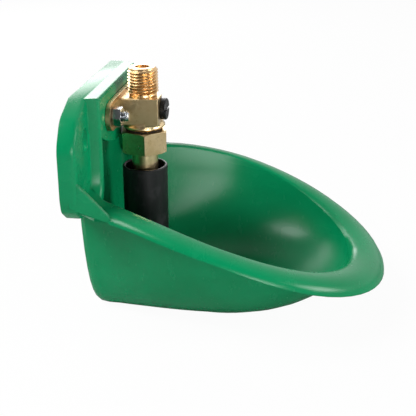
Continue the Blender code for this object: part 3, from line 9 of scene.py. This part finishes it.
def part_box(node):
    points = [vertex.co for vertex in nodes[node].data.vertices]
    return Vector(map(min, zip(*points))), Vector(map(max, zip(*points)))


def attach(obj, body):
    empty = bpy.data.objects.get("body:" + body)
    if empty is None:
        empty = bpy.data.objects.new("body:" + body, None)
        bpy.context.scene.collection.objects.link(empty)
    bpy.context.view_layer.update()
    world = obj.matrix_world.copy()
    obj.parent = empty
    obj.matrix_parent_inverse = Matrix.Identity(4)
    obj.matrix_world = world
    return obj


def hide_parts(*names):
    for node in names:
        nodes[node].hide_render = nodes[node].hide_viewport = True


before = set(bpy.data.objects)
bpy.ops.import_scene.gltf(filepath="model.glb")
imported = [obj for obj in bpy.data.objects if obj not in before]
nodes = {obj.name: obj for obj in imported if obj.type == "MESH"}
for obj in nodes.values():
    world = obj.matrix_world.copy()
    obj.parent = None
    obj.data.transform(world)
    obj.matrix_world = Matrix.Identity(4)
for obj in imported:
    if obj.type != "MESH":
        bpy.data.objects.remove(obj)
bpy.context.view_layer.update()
bpy.ops.object.select_all(action="DESELECT")


# The picture is taken from the near left side, a little above the lip,
# with a long lens on a full-frame camera.
camera_data = bpy.data.cameras.new("camera")
camera_data.sensor_width = 36.0
camera_data.lens = 75.68
camera_data.clip_start = 0.01
camera = bpy.data.objects.new("camera", camera_data)
bpy.context.scene.collection.objects.link(camera)
camera.location = (-0.49658, -0.05313, 0.25548)
aim = Vector((0.0, 0.01975, 0.05227)) - camera.location
camera.rotation_euler = aim.to_track_quat("-Z", "Y").to_euler()
bpy.context.scene.camera = camera
bpy.context.scene.view_settings.view_transform = "Standard"


# The bowl is one injection moulding in glossy green polypropylene: plate, pad, basin and
# rolled lip in one piece. Its skin is slightly wavy, has fine flow marks and faint scuffs,
# and every edge of the moulding is softly rounded.
WELD_DISTANCE = 0.000002
BEVEL_SAMPLES = 4
CRISP_ANGLE = 32.0
GREEN = (0.0003, 0.176, 0.062)
LIGHT_GREEN = (0.0006, 0.230, 0.087)
SCUFFED_GREEN = (0.03, 0.34, 0.18)
DUSTY_GREEN = (0.12, 0.40, 0.26)


class Socket:
    """One output of a shader node, with the sums and products that the finishes need."""

    def __init__(self, shade, output):
        self.shade = shade
        self.output = output

    def _math(self, operation, first, second):
        return self.shade.node("ShaderNodeMath", {"operation": operation}, {0: first, 1: second})

    def __add__(self, other):
        return self._math("ADD", self, other)

    __radd__ = __add__

    def __rsub__(self, other):
        return self._math("SUBTRACT", other, self)

    def __mul__(self, other):
        return self._math("MULTIPLY", self, other)

    def above(self, edge, soft):
        """0 below the edge, 1 above it, with a soft step between."""
        return self.shade.node(
            "ShaderNodeMapRange",
            {"interpolation_type": "SMOOTHSTEP"},
            {"Value": self, "From Min": edge - soft, "From Max": edge + soft},
        )


class Shade:
    """One material, made of nodes round its Principled shader."""

    def __init__(self, name):
        self.material = bpy.data.materials.new(name)
        self.material.use_nodes = True
        self.tree = self.material.node_tree
        self.shader = self.tree.nodes["Principled BSDF"]
        self.place = self.node("ShaderNodeTexCoord", {}, {}, "Object")

    def node(self, kind, settings, inputs, output=0):
        made = self.tree.nodes.new(kind)
        for key, value in settings.items():
            setattr(made, key, value)
        for key, value in inputs.items():
            if isinstance(value, Socket):
                self.tree.links.new(value.output, made.inputs[key])
            else:
                made.inputs[key].default_value = value
        return Socket(self, made.outputs[output])

    def noise(self, scale, detail=2.0, roughness=0.5, place=None):
        inputs = {
            "Vector": place or self.place,
            "Scale": scale,
            "Detail": detail,
            "Roughness": roughness,
        }
        return self.node("ShaderNodeTexNoise", {}, inputs, "Fac")

    def stretched(self, scale):
        """Object coordinates scaled by three factors, for grain that runs one way."""
        return self.node("ShaderNodeMapping", {}, {"Vector": self.place, "Scale": scale})

    def along(self, axis):
        """How far a point lies along one axis of its object coordinates."""
        return self.node("ShaderNodeSeparateXYZ", {}, {0: self.place}, axis)

    def blend(self, share, first, second):
        """A colour between two others, which are the mix node's sockets 6 and 7."""
        first = first if isinstance(first, Socket) else (*first, 1.0)
        second = second if isinstance(second, Socket) else (*second, 1.0)
        inputs = {0: share, 6: first, 7: second}
        return self.node("ShaderNodeMix", {"data_type": "RGBA"}, inputs, 2)

    def skin(self, height, strength, distance, edge_round):
        """A bumpy surface whose edges look rounded by a small radius."""
        rounded = self.node("ShaderNodeBevel", {"samples": BEVEL_SAMPLES}, {"Radius": edge_round})
        inputs = {"Height": height, "Strength": strength, "Distance": distance, "Normal": rounded}
        return self.node("ShaderNodeBump", {}, inputs)

    def finish(self, **sockets):
        """Sets or links the shader's sockets, named in small letters with underscores."""
        names = {name.lower().replace(" ", "_"): name for name in self.shader.inputs.keys()}
        for key, value in sockets.items():
            target = self.shader.inputs[names[key]]
            if isinstance(value, Socket):
                self.tree.links.new(value.output, target)
            else:
                target.default_value = (*value, 1.0) if isinstance(value, tuple) else value
        return self.material


def dress(names, material, angle=CRISP_ANGLE):
    """Gives CAD nodes their material and smooth shading, and keeps their real edges crisp."""
    for name in names:
        node = nodes[name]
        node.data.materials.clear()
        node.data.materials.append(material)
        node.data.polygons.foreach_set("use_smooth", [True] * len(node.data.polygons))
        weld = node.modifiers.new("weld", "WELD")
        weld.merge_threshold = WELD_DISTANCE
        split = node.modifiers.new("edges", "EDGE_SPLIT")
        split.split_angle = math.radians(angle)
        split.use_edge_sharp = False


plastic = Shade("moulded green plastic")
flow = plastic.noise(9.0, 3.0, 0.55, plastic.stretched((1.0, 1.0, 2.4)))
speckle = plastic.noise(420.0, 2.0, 0.6)
scuffs = plastic.noise(60.0, 4.0, 0.7, plastic.stretched((1.0, 2.0, 1.0))).above(0.66, 0.08)
dust = plastic.noise(1500.0, 1.0, 0.5).above(0.74, 0.02)
green = plastic.blend(flow.above(0.5, 0.22), GREEN, LIGHT_GREEN)
green = plastic.blend(scuffs * 0.05, green, SCUFFED_GREEN)
green = plastic.blend(dust * 0.04, green, DUSTY_GREEN)
green_material = plastic.finish(
    base_color=green,
    roughness=0.24 + flow * 0.06 + scuffs * 0.04 + dust * 0.04,
    specular_ior_level=0.23,
    normal=plastic.skin(flow * 0.5 + speckle * 0.04 + scuffs * 0.02, 0.3, 0.0012, 0.0009),
)
dress(["bowl"], green_material, 30.0)


# The valve body is a brass forging, milled and turned: a block with a flange behind it,
# a nose for the regulator, milled flat on the left, and a male pipe thread cut on a lathe.
THREAD_FOOT = Vector((0.0, 0.0587, 0.1240))
BLOCK_HALF_WIDTH = 0.0110
BLOCK_FRONT = 0.0477
BLOCK_BOTTOM = 0.1065
BLOCK_TOP = 0.1228
BLOCK_EDGE = 0.0005
BLOCK_OVERLAP = 0.0010
FLANGE_FRONT = 0.0755
REGULATOR_BORE = 0.0053
REGULATOR_HEIGHT = 0.1146
NOSE_SIDES = 64
BORE_SIDES = 48

FLAT_ANGLE = 0.3
THREAD_ANGLE = 30.0
THREAD_SIDES = 48
SPARE_TURNS = 2
VALLEY_SHARE = 0.10
FLANK_SHARE = 0.38
RIDGE_SHARE = 0.14
END_MARGIN = 0.00005
SEAM_REACH = 0.1
OUTSIDE_CREST = 1.05
INSIDE_CORE = 0.8
FACES_ALONG = 0.9

BRIGHT_BRASS = (0.80, 0.63, 0.37)
DULL_BRASS = (0.67, 0.50, 0.26)
THREAD_BRASS = (0.70, 0.43, 0.20)
SHADED_MILLED_BRASS = (0.40, 0.305, 0.165)
GRIMY_BRASS = (0.34, 0.22, 0.09)


class Thread:
    """An outside thread: its length and pitch, and the radii of its core, crests and end."""

    def __init__(self, length, pitch, core, crest, top_crest, end):
        self.length = length
        self.pitch = pitch
        self.core = core
        self.crest = crest
        self.top_crest = top_crest
        self.end = end


INLET_THREAD = Thread(
    length=0.0158, pitch=0.0018, core=0.0080, crest=0.0093, top_crest=0.0090, end=0.0074
)


def copy_of(name):
    """A copy of a CAD piece with its loose triangles merged, to be worked on."""
    piece = bpy.data.objects.new(name + "_threaded", nodes[name].data.copy())
    bpy.context.scene.collection.objects.link(piece)
    open_for_edit(piece, "VERT")
    bpy.ops.mesh.select_all(action="SELECT")
    bpy.ops.mesh.remove_doubles(threshold=WELD_DISTANCE)
    bpy.ops.object.mode_set(mode="OBJECT")
    join_flats(piece)
    return piece


def join_flats(piece):
    """Makes one face of each flat patch of triangles."""
    open_for_edit(piece, "FACE")
    bpy.ops.mesh.select_all(action="SELECT")
    bpy.ops.mesh.dissolve_limited(
        angle_limit=math.radians(FLAT_ANGLE), use_dissolve_boundaries=False
    )
    bpy.ops.mesh.select_all(action="DESELECT")
    bpy.ops.object.mode_set(mode="OBJECT")


def open_for_edit(piece, kind):
    """Enters edit mode on one piece alone with nothing selected, and gives its mesh."""
    bpy.ops.object.select_all(action="DESELECT")
    bpy.context.view_layer.objects.active = piece
    piece.select_set(True)
    bpy.ops.object.mode_set(mode="EDIT")
    bpy.ops.mesh.select_mode(type=kind)
    bpy.ops.mesh.select_all(action="DESELECT")
    return bmesh.from_edit_mesh(piece.data)


def helical_skin(thread):
    """A thread along +Z from its foot at zero: its outline is turned up, cut to length at both
    ends and held within the taper and the narrow ends."""
    bpy.ops.mesh.primitive_plane_add(size=thread.core, location=(0.0, 0.0, 0.0))
    skin = bpy.context.object
    open_for_edit(skin, "VERT")
    bpy.ops.mesh.select_all(action="SELECT")
    bpy.ops.mesh.merge(type="CENTER")
    bpy.ops.transform.translate(value=(thread.core, 0.0, -thread.pitch))
    depth = thread.crest - thread.core
    tooth = (
        (0.0, VALLEY_SHARE),
        (depth, FLANK_SHARE),
        (0.0, RIDGE_SHARE),
        (-depth, FLANK_SHARE),
    )
    for _ in range(math.ceil(thread.length / thread.pitch) + SPARE_TURNS):
        for outward, share in tooth:
            step = (outward, 0.0, share * thread.pitch)
            bpy.ops.mesh.extrude_region_move(TRANSFORM_OT_translate={"value": step})
    bpy.ops.object.mode_set(mode="OBJECT")
    turns = skin.modifiers.new("turns", "SCREW")
    turns.axis = "Z"
    turns.screw_offset = thread.pitch
    turns.steps = THREAD_SIDES
    turns.render_steps = THREAD_SIDES
    bpy.ops.object.modifier_apply(modifier="turns")
    open_for_edit(skin, "VERT")
    bpy.ops.mesh.select_all(action="SELECT")
    bpy.ops.mesh.remove_doubles(threshold=WELD_DISTANCE)
    top = thread.length - END_MARGIN
    for cut, at_foot in ((END_MARGIN, True), (top, False)):
        bpy.ops.mesh.select_all(action="SELECT")
        bpy.ops.mesh.bisect(
            plane_co=(0.0, 0.0, cut),
            plane_no=(0.0, 0.0, 1.0),
            clear_inner=at_foot,
            clear_outer=not at_foot,
        )
    bpy.ops.object.mode_set(mode="OBJECT")
    for vertex in skin.data.vertices:
        vertex.co.z = min(vertex.co.z, top)
        level = vertex.co.z
        tapered = thread.crest + (thread.top_crest - thread.crest) * level / thread.length
        limit = min(tapered, thread.core + level, thread.end + thread.length - level)
        radius = math.hypot(vertex.co.x, vertex.co.y)
        if radius > limit:
            vertex.co.x *= limit / radius
            vertex.co.y *= limit / radius
    return skin


def cut_thread(piece, foot, along, thread):
    """Swaps the plain skin of a spindle for a thread, from its foot to its end."""
    place = Matrix.Translation(foot) @ along.to_track_quat("Z", "Y").to_matrix().to_4x4()
    back = place.inverted()
    outside = thread.crest * OUTSIDE_CREST
    inside = thread.core * INSIDE_CORE

    def local(point):
        spot = back @ point
        return math.hypot(spot.x, spot.y), spot.z

    mesh = open_for_edit(piece, "FACE")
    for face in mesh.faces:
        face.select = all(local(vert.co)[0] < outside for vert in face.verts)
    bpy.ops.mesh.bisect(plane_co=foot, plane_no=along)
    bpy.ops.mesh.select_all(action="DESELECT")
    mesh = bmesh.from_edit_mesh(piece.data)
    for face in mesh.faces:
        radius, level = local(face.calc_center_median())
        flat_end = face.normal.dot(along) > FACES_ALONG
        face.select = level > 0.0 and inside < radius < outside and not flat_end
    bpy.ops.mesh.delete(type="FACE")
    bpy.ops.object.mode_set(mode="OBJECT")
    skin = helical_skin(thread)
    skin.matrix_world = place
    bpy.ops.object.transform_apply(location=True, rotation=True, scale=True)
    bpy.ops.object.select_all(action="DESELECT")
    skin.select_set(True)
    piece.select_set(True)
    bpy.context.view_layer.objects.active = piece
    bpy.ops.object.join()
    margin = SEAM_REACH * thread.length
    middle = 0.5 * thread.length
    for low, high in ((-margin, middle), (middle, thread.length + margin)):
        mesh = open_for_edit(piece, "EDGE")
        for edge in mesh.edges:
            radius, level = local((edge.verts[0].co + edge.verts[1].co) / 2)
            edge.select = edge.is_boundary and low < level < high and radius < outside
        bpy.ops.mesh.bridge_edge_loops()
        bpy.ops.object.mode_set(mode="OBJECT")
    open_for_edit(piece, "FACE")
    bpy.ops.mesh.select_all(action="SELECT")
    bpy.ops.mesh.normals_make_consistent(inside=False)
    bpy.ops.object.mode_set(mode="OBJECT")
    bpy.ops.object.shade_smooth_by_angle(angle=math.radians(THREAD_ANGLE))
    flats = piece.modifiers.new("flat faces stay flat", "WEIGHTED_NORMAL")
    flats.keep_sharp = True


def trim(piece, tool, operation):
    """Joins a tool shape to a piece or cuts it away."""
    step = piece.modifiers.new(operation.lower(), "BOOLEAN")
    step.operation = operation
    step.solver = "EXACT"
    step.object = tool
    bpy.ops.object.select_all(action="DESELECT")
    bpy.context.view_layer.objects.active = piece
    bpy.ops.object.modifier_apply(modifier=step.name)
    bpy.data.objects.remove(tool, do_unlink=True)


def square_nose(piece):
    """Runs the block's flat left side out to its front, outside the round waterway."""
    low = Vector((-BLOCK_HALF_WIDTH, BLOCK_FRONT, BLOCK_BOTTOM))
    high = Vector((BLOCK_OVERLAP, THREAD_FOOT.y, BLOCK_TOP))
    bpy.ops.mesh.primitive_cube_add(size=1.0, location=(low + high) / 2)
    side = bpy.context.object
    side.scale = high - low
    bpy.ops.object.transform_apply(location=True, rotation=True, scale=True)
    mesh = open_for_edit(side, "EDGE")
    for edge in mesh.edges:
        edge.select = all(vert.co.y < BLOCK_FRONT + BLOCK_EDGE for vert in edge.verts)
    bpy.ops.mesh.bevel(offset=BLOCK_EDGE, segments=2, affect="EDGES")
    bpy.ops.object.mode_set(mode="OBJECT")
    bpy.ops.mesh.primitive_cylinder_add(
        vertices=NOSE_SIDES,
        radius=BLOCK_HALF_WIDTH - BLOCK_EDGE / 2,
        depth=BLOCK_TOP,
        location=(0.0, THREAD_FOOT.y, BLOCK_TOP),
    )
    trim(side, bpy.context.object, "DIFFERENCE")
    bpy.ops.mesh.primitive_cylinder_add(
        vertices=BORE_SIDES,
        radius=REGULATOR_BORE,
        depth=BLOCK_TOP,
        location=(0.0, BLOCK_FRONT, REGULATOR_HEIGHT),
        rotation=(math.pi / 2, 0.0, 0.0),
    )
    trim(side, bpy.context.object, "DIFFERENCE")
    trim(piece, side, "UNION")
    join_flats(piece)


brass = Shade("turned brass")
turning = brass.noise(900.0, 2.0, 0.5, brass.stretched((0.05, 0.05, 1.6)))
patches = brass.noise(120.0, 3.0, 0.6)
grime = brass.noise(310.0, 3.0, 0.7).above(0.62, 0.08)
height = brass.along(2)
to_wall = brass.along(1)
# Painted shade: the block's sides between its bottom, its top, its front and the flange get a
# darker brass that stands in for the dim room they reflect. Their higher roughness is the real
# milled finish.
milled_and_shaded = (
    height.above(BLOCK_BOTTOM, 0.0002)
    * (1.0 - height.above(BLOCK_TOP - 0.0004, 0.0002))
    * (1.0 - to_wall.above(FLANGE_FRONT, 0.0004))
    * to_wall.above(BLOCK_FRONT + BLOCK_EDGE, 0.0002)
)
metal = brass.blend(patches.above(0.52, 0.16), BRIGHT_BRASS, DULL_BRASS)
metal = brass.blend(height.above(BLOCK_TOP, 0.0006) * 0.7, metal, THREAD_BRASS)
# Painted shade: the darker brass on the block's milled sides.
metal = brass.blend(milled_and_shaded * 0.8, metal, SHADED_MILLED_BRASS)
metal = brass.blend(grime * 0.4, metal, GRIMY_BRASS)
brass_material = brass.finish(
    base_color=metal,
    metallic=1.0,
    roughness=0.24 + patches * 0.10 + grime * 0.12 + milled_and_shaded * 0.12,
    normal=brass.skin(turning + patches * 0.2, 0.07, 0.0001, 0.0001),
)
valve = copy_of("valve_body")
square_nose(valve)
cut_thread(valve, THREAD_FOOT, Vector((0.0, 0.0, 1.0)), INLET_THREAD)
valve.data.materials.clear()
valve.data.materials.append(brass_material)
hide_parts("valve_body")
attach(valve, "bowl_and_valve")


# The outlet nipple is turned from hexagon brass bar: a nut to hold it by, a threaded shank
# above that screws into the body, and the bare pipe below.
dress(["outlet_nipple"], brass_material, 28.0)


# Two M6 bolts with nuts and washers clamp the flange to the pad. They are bright zinc-plated
# steel with slightly uneven plating. The bolt ends stand out of the nuts by four turns, a
# little more than in the solids.
BOLT_THREAD = Thread(
    length=0.0045, pitch=0.0010, core=0.0023, crest=0.0031, top_crest=0.0031, end=0.0023
)
BOLT_LONGER = 0.0009
BRIGHT_ZINC = (0.66, 0.68, 0.70)
DULL_ZINC = (0.48, 0.50, 0.52)

zinc = Shade("zinc plating")
plating = zinc.noise(260.0, 3.0, 0.6)
zinc_material = zinc.finish(
    base_color=zinc.blend(plating.above(0.5, 0.15), BRIGHT_ZINC, DULL_ZINC),
    metallic=1.0,
    roughness=0.12 + plating * 0.14,
    normal=zinc.skin(plating, 0.15, 0.0001, 0.00008),
)
for side in ("left", "right"):
    bolt_low, bolt_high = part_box("mounting_bolt_" + side)
    centre = [(low + high) / 2 for low, high in zip(bolt_low, bolt_high)]
    foot = Vector((centre[0], bolt_low[1] + BOLT_THREAD.length - BOLT_LONGER, centre[2]))
    bolt = copy_of("mounting_bolt_" + side)
    mesh = open_for_edit(bolt, "VERT")
    for vert in mesh.verts:
        vert.select = vert.co.y < bolt_low[1] + BOLT_LONGER
    bpy.ops.transform.translate(value=(0.0, -BOLT_LONGER, 0.0))
    bpy.ops.object.mode_set(mode="OBJECT")
    cut_thread(bolt, foot, Vector((0.0, -1.0, 0.0)), BOLT_THREAD)
    bolt.data.materials.clear()
    bolt.data.materials.append(zinc_material)
    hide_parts("mounting_bolt_" + side)
    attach(bolt, "bowl_and_valve")
fixings = [name for name in nodes if name.startswith(("mounting_nut_", "bolt_washer_"))]
dress(fixings, zinc_material)


# The push tube is cut from extruded black plastic pipe, satin with fine marks along its length.
# Its carrier inside and the slotted regulator screw are moulded in the same plastic.
PIPE_BLACK = (0.0045, 0.0045, 0.0055)
RUBBED_BLACK = (0.022, 0.022, 0.025)

pipe = Shade("black pipe")
streaks = pipe.noise(300.0, 3.0, 0.6, pipe.stretched((1.0, 1.0, 0.06)))
rubs = pipe.noise(160.0, 3.0, 0.6).above(0.6, 0.08)
pipe_material = pipe.finish(
    base_color=pipe.blend(rubs * 0.35, PIPE_BLACK, RUBBED_BLACK),
    roughness=0.38 + streaks * 0.12 + rubs * 0.10,
    specular_ior_level=0.35,
    normal=pipe.skin(streaks, 0.3, 0.0002, 0.0003),
)
dress(["push_tube", "tube_carrier", "regulator_screw"], pipe_material)


# Gasket, seat seal, stem seal and the regulator's ring are black rubber with a dry, dull skin.
# Each one is held between the faces that it seals.
RUBBER_BLACK = (0.010, 0.007, 0.006)
RUBBER_BROWN = (0.03, 0.017, 0.013)

rubber = Shade("black rubber")
grain = rubber.noise(1400.0, 3.0, 0.6)
rubber_material = rubber.finish(
    base_color=rubber.blend(grain, RUBBER_BLACK, RUBBER_BROWN),
    roughness=0.62 + grain * 0.2,
    specular_ior_level=0.3,
    normal=rubber.skin(grain, 0.4, 0.0001, 0.0001),
)
seals = ["outlet_gasket", "seat_seal", "stem_seal_disc", "regulator_ring"]
dress(seals, rubber_material)


# The stem, its nut and the coil spring are stainless steel: the stem is turned, the spring is
# wound from drawn wire, and the nut at the stem's foot holds the carrier on it.
BRIGHT_STEEL = (0.62, 0.61, 0.59)
DULL_STEEL = (0.50, 0.50, 0.49)

steel = Shade("stainless steel")
drawn = steel.noise(700.0, 2.0, 0.5, steel.stretched((0.08, 0.08, 1.0)))
steel_material = steel.finish(
    base_color=steel.blend(drawn, BRIGHT_STEEL, DULL_STEEL),
    metallic=1.0,
    roughness=0.24 + drawn * 0.14,
    normal=steel.skin(drawn, 0.2, 0.0001, 0.0001),
)
dress(["valve_stem", "stem_nut", "stem_spring"], steel_material)


# The strainer in the inlet and the spring's cup are moulded in natural white plastic. The
# strainer sits in the inlet's bore, the cup between the sealing disc and the spring.
WHITE_NYLON = (0.78, 0.78, 0.74)
CLOUDED_NYLON = (0.70, 0.69, 0.64)

nylon = Shade("white nylon")
cloud = nylon.noise(350.0, 2.0, 0.5)
nylon_material = nylon.finish(
    base_color=nylon.blend(cloud, WHITE_NYLON, CLOUDED_NYLON),
    roughness=0.38 + cloud * 0.12,
    normal=nylon.skin(cloud, 0.2, 0.0001, 0.0001),
)
dress(["inlet_strainer", "spring_cup"], nylon_material)


# The studio is a white table and backdrop. The camera sees the table nearly as white as the
# backdrop, with a faint shadow under the bowl.
SHADOW_SHARE = 0.04
TABLE_TONE = (0.64, 0.64, 0.64)
MIRRORED_TONE = (0.36, 0.36, 0.36)

bpy.ops.mesh.primitive_plane_add(size=6.0, location=(0.0, 0.0, 0.0))
table = bpy.context.object
table.name = "table"
white = Shade("white table")
mirrored = white.node("ShaderNodeLightPath", {}, {}, "Is Glossy Ray")
tone = white.blend(mirrored, TABLE_TONE, MIRRORED_TONE)
white.finish(base_color=tone, roughness=0.9, specular_ior_level=0.0)
glow = white.node("ShaderNodeEmission", {}, {"Color": (1.0, 1.0, 1.0, 1.0)})
seen = white.node("ShaderNodeLightPath", {}, {}, "Is Camera Ray")
look = white.node("ShaderNodeMixShader", {}, {0: seen * (1.0 - SHADOW_SHARE), 2: glow})
white.tree.links.new(white.shader.outputs[0], look.output.node.inputs[1])
white.tree.links.new(look.output, white.tree.nodes["Material Output"].inputs["Surface"])
table.data.materials.append(white.material)


# A white backdrop stands on the far side. Above and behind the camera the room is dim, and
# metal shows both.
ROOM_LIGHT = 0.05
ROOM_DARK = 0.10

world = bpy.data.worlds.new("studio")
bpy.context.scene.world = world
world.use_nodes = True
sky = world.node_tree
background = sky.nodes["Background"]
background.inputs["Color"].default_value = (1.0, 1.0, 1.0, 1.0)
paths = sky.nodes.new("ShaderNodeLightPath")
heading = sky.nodes.new("ShaderNodeTexCoord")
parts = sky.nodes.new("ShaderNodeSeparateXYZ")
sky.links.new(heading.outputs["Generated"], parts.inputs[0])
far_side = sky.nodes.new("ShaderNodeMapRange")
far_side.interpolation_type = "SMOOTHSTEP"
far_side.inputs["From Min"].default_value = -0.5
far_side.inputs["From Max"].default_value = 0.6
far_side.inputs["To Min"].default_value = ROOM_DARK
far_side.inputs["To Max"].default_value = 1.0
sky.links.new(parts.outputs["X"], far_side.inputs["Value"])
level = ROOM_LIGHT
rays = (
    ("Is Glossy Ray", far_side.outputs[0]),
    ("Is Transmission Ray", 1.0),
    ("Is Camera Ray", 1.0),
)
for kind, strength in rays:
    choice = sky.nodes.new("ShaderNodeMix")
    sky.links.new(paths.outputs[kind], choice.inputs[0])
    for index, value in ((2, level), (3, strength)):
        if isinstance(value, float):
            choice.inputs[index].default_value = value
        else:
            sky.links.new(value, choice.inputs[index])
    level = choice.outputs[0]
sky.links.new(level, background.inputs["Strength"])


# A wide soft lamp on the far side gives the sheen on the pad's top and inside the lip. Two more,
# behind on the left and in front, draw the bright stripes on the thread, and a low one beside
# the camera shines on the far wall of the basin.
LIT_SPOT = Vector((0.0, 0.0, 0.05))


def lamp(name, place, width, height, power):
    data = bpy.data.lights.new(name, "AREA")
    data.shape = "RECTANGLE"
    data.size = width
    data.size_y = height
    data.energy = power
    light = bpy.data.objects.new(name, data)
    bpy.context.scene.collection.objects.link(light)
    light.location = place
    toward = LIT_SPOT - Vector(place)
    light.rotation_euler = toward.to_track_quat("-Z", "Y").to_euler()


lamp("far lamp", (0.90, 0.63, 0.55), 1.1, 0.60, 10.5)
lamp("left lamp", (-0.30, 0.78, 0.88), 0.60, 0.60, 16.0)
lamp("front lamp", (-0.12, -1.02, 0.42), 0.42, 0.42, 8.0)
lamp("low lamp", (-0.90, -0.48, 0.16), 0.46, 0.26, 5.0)
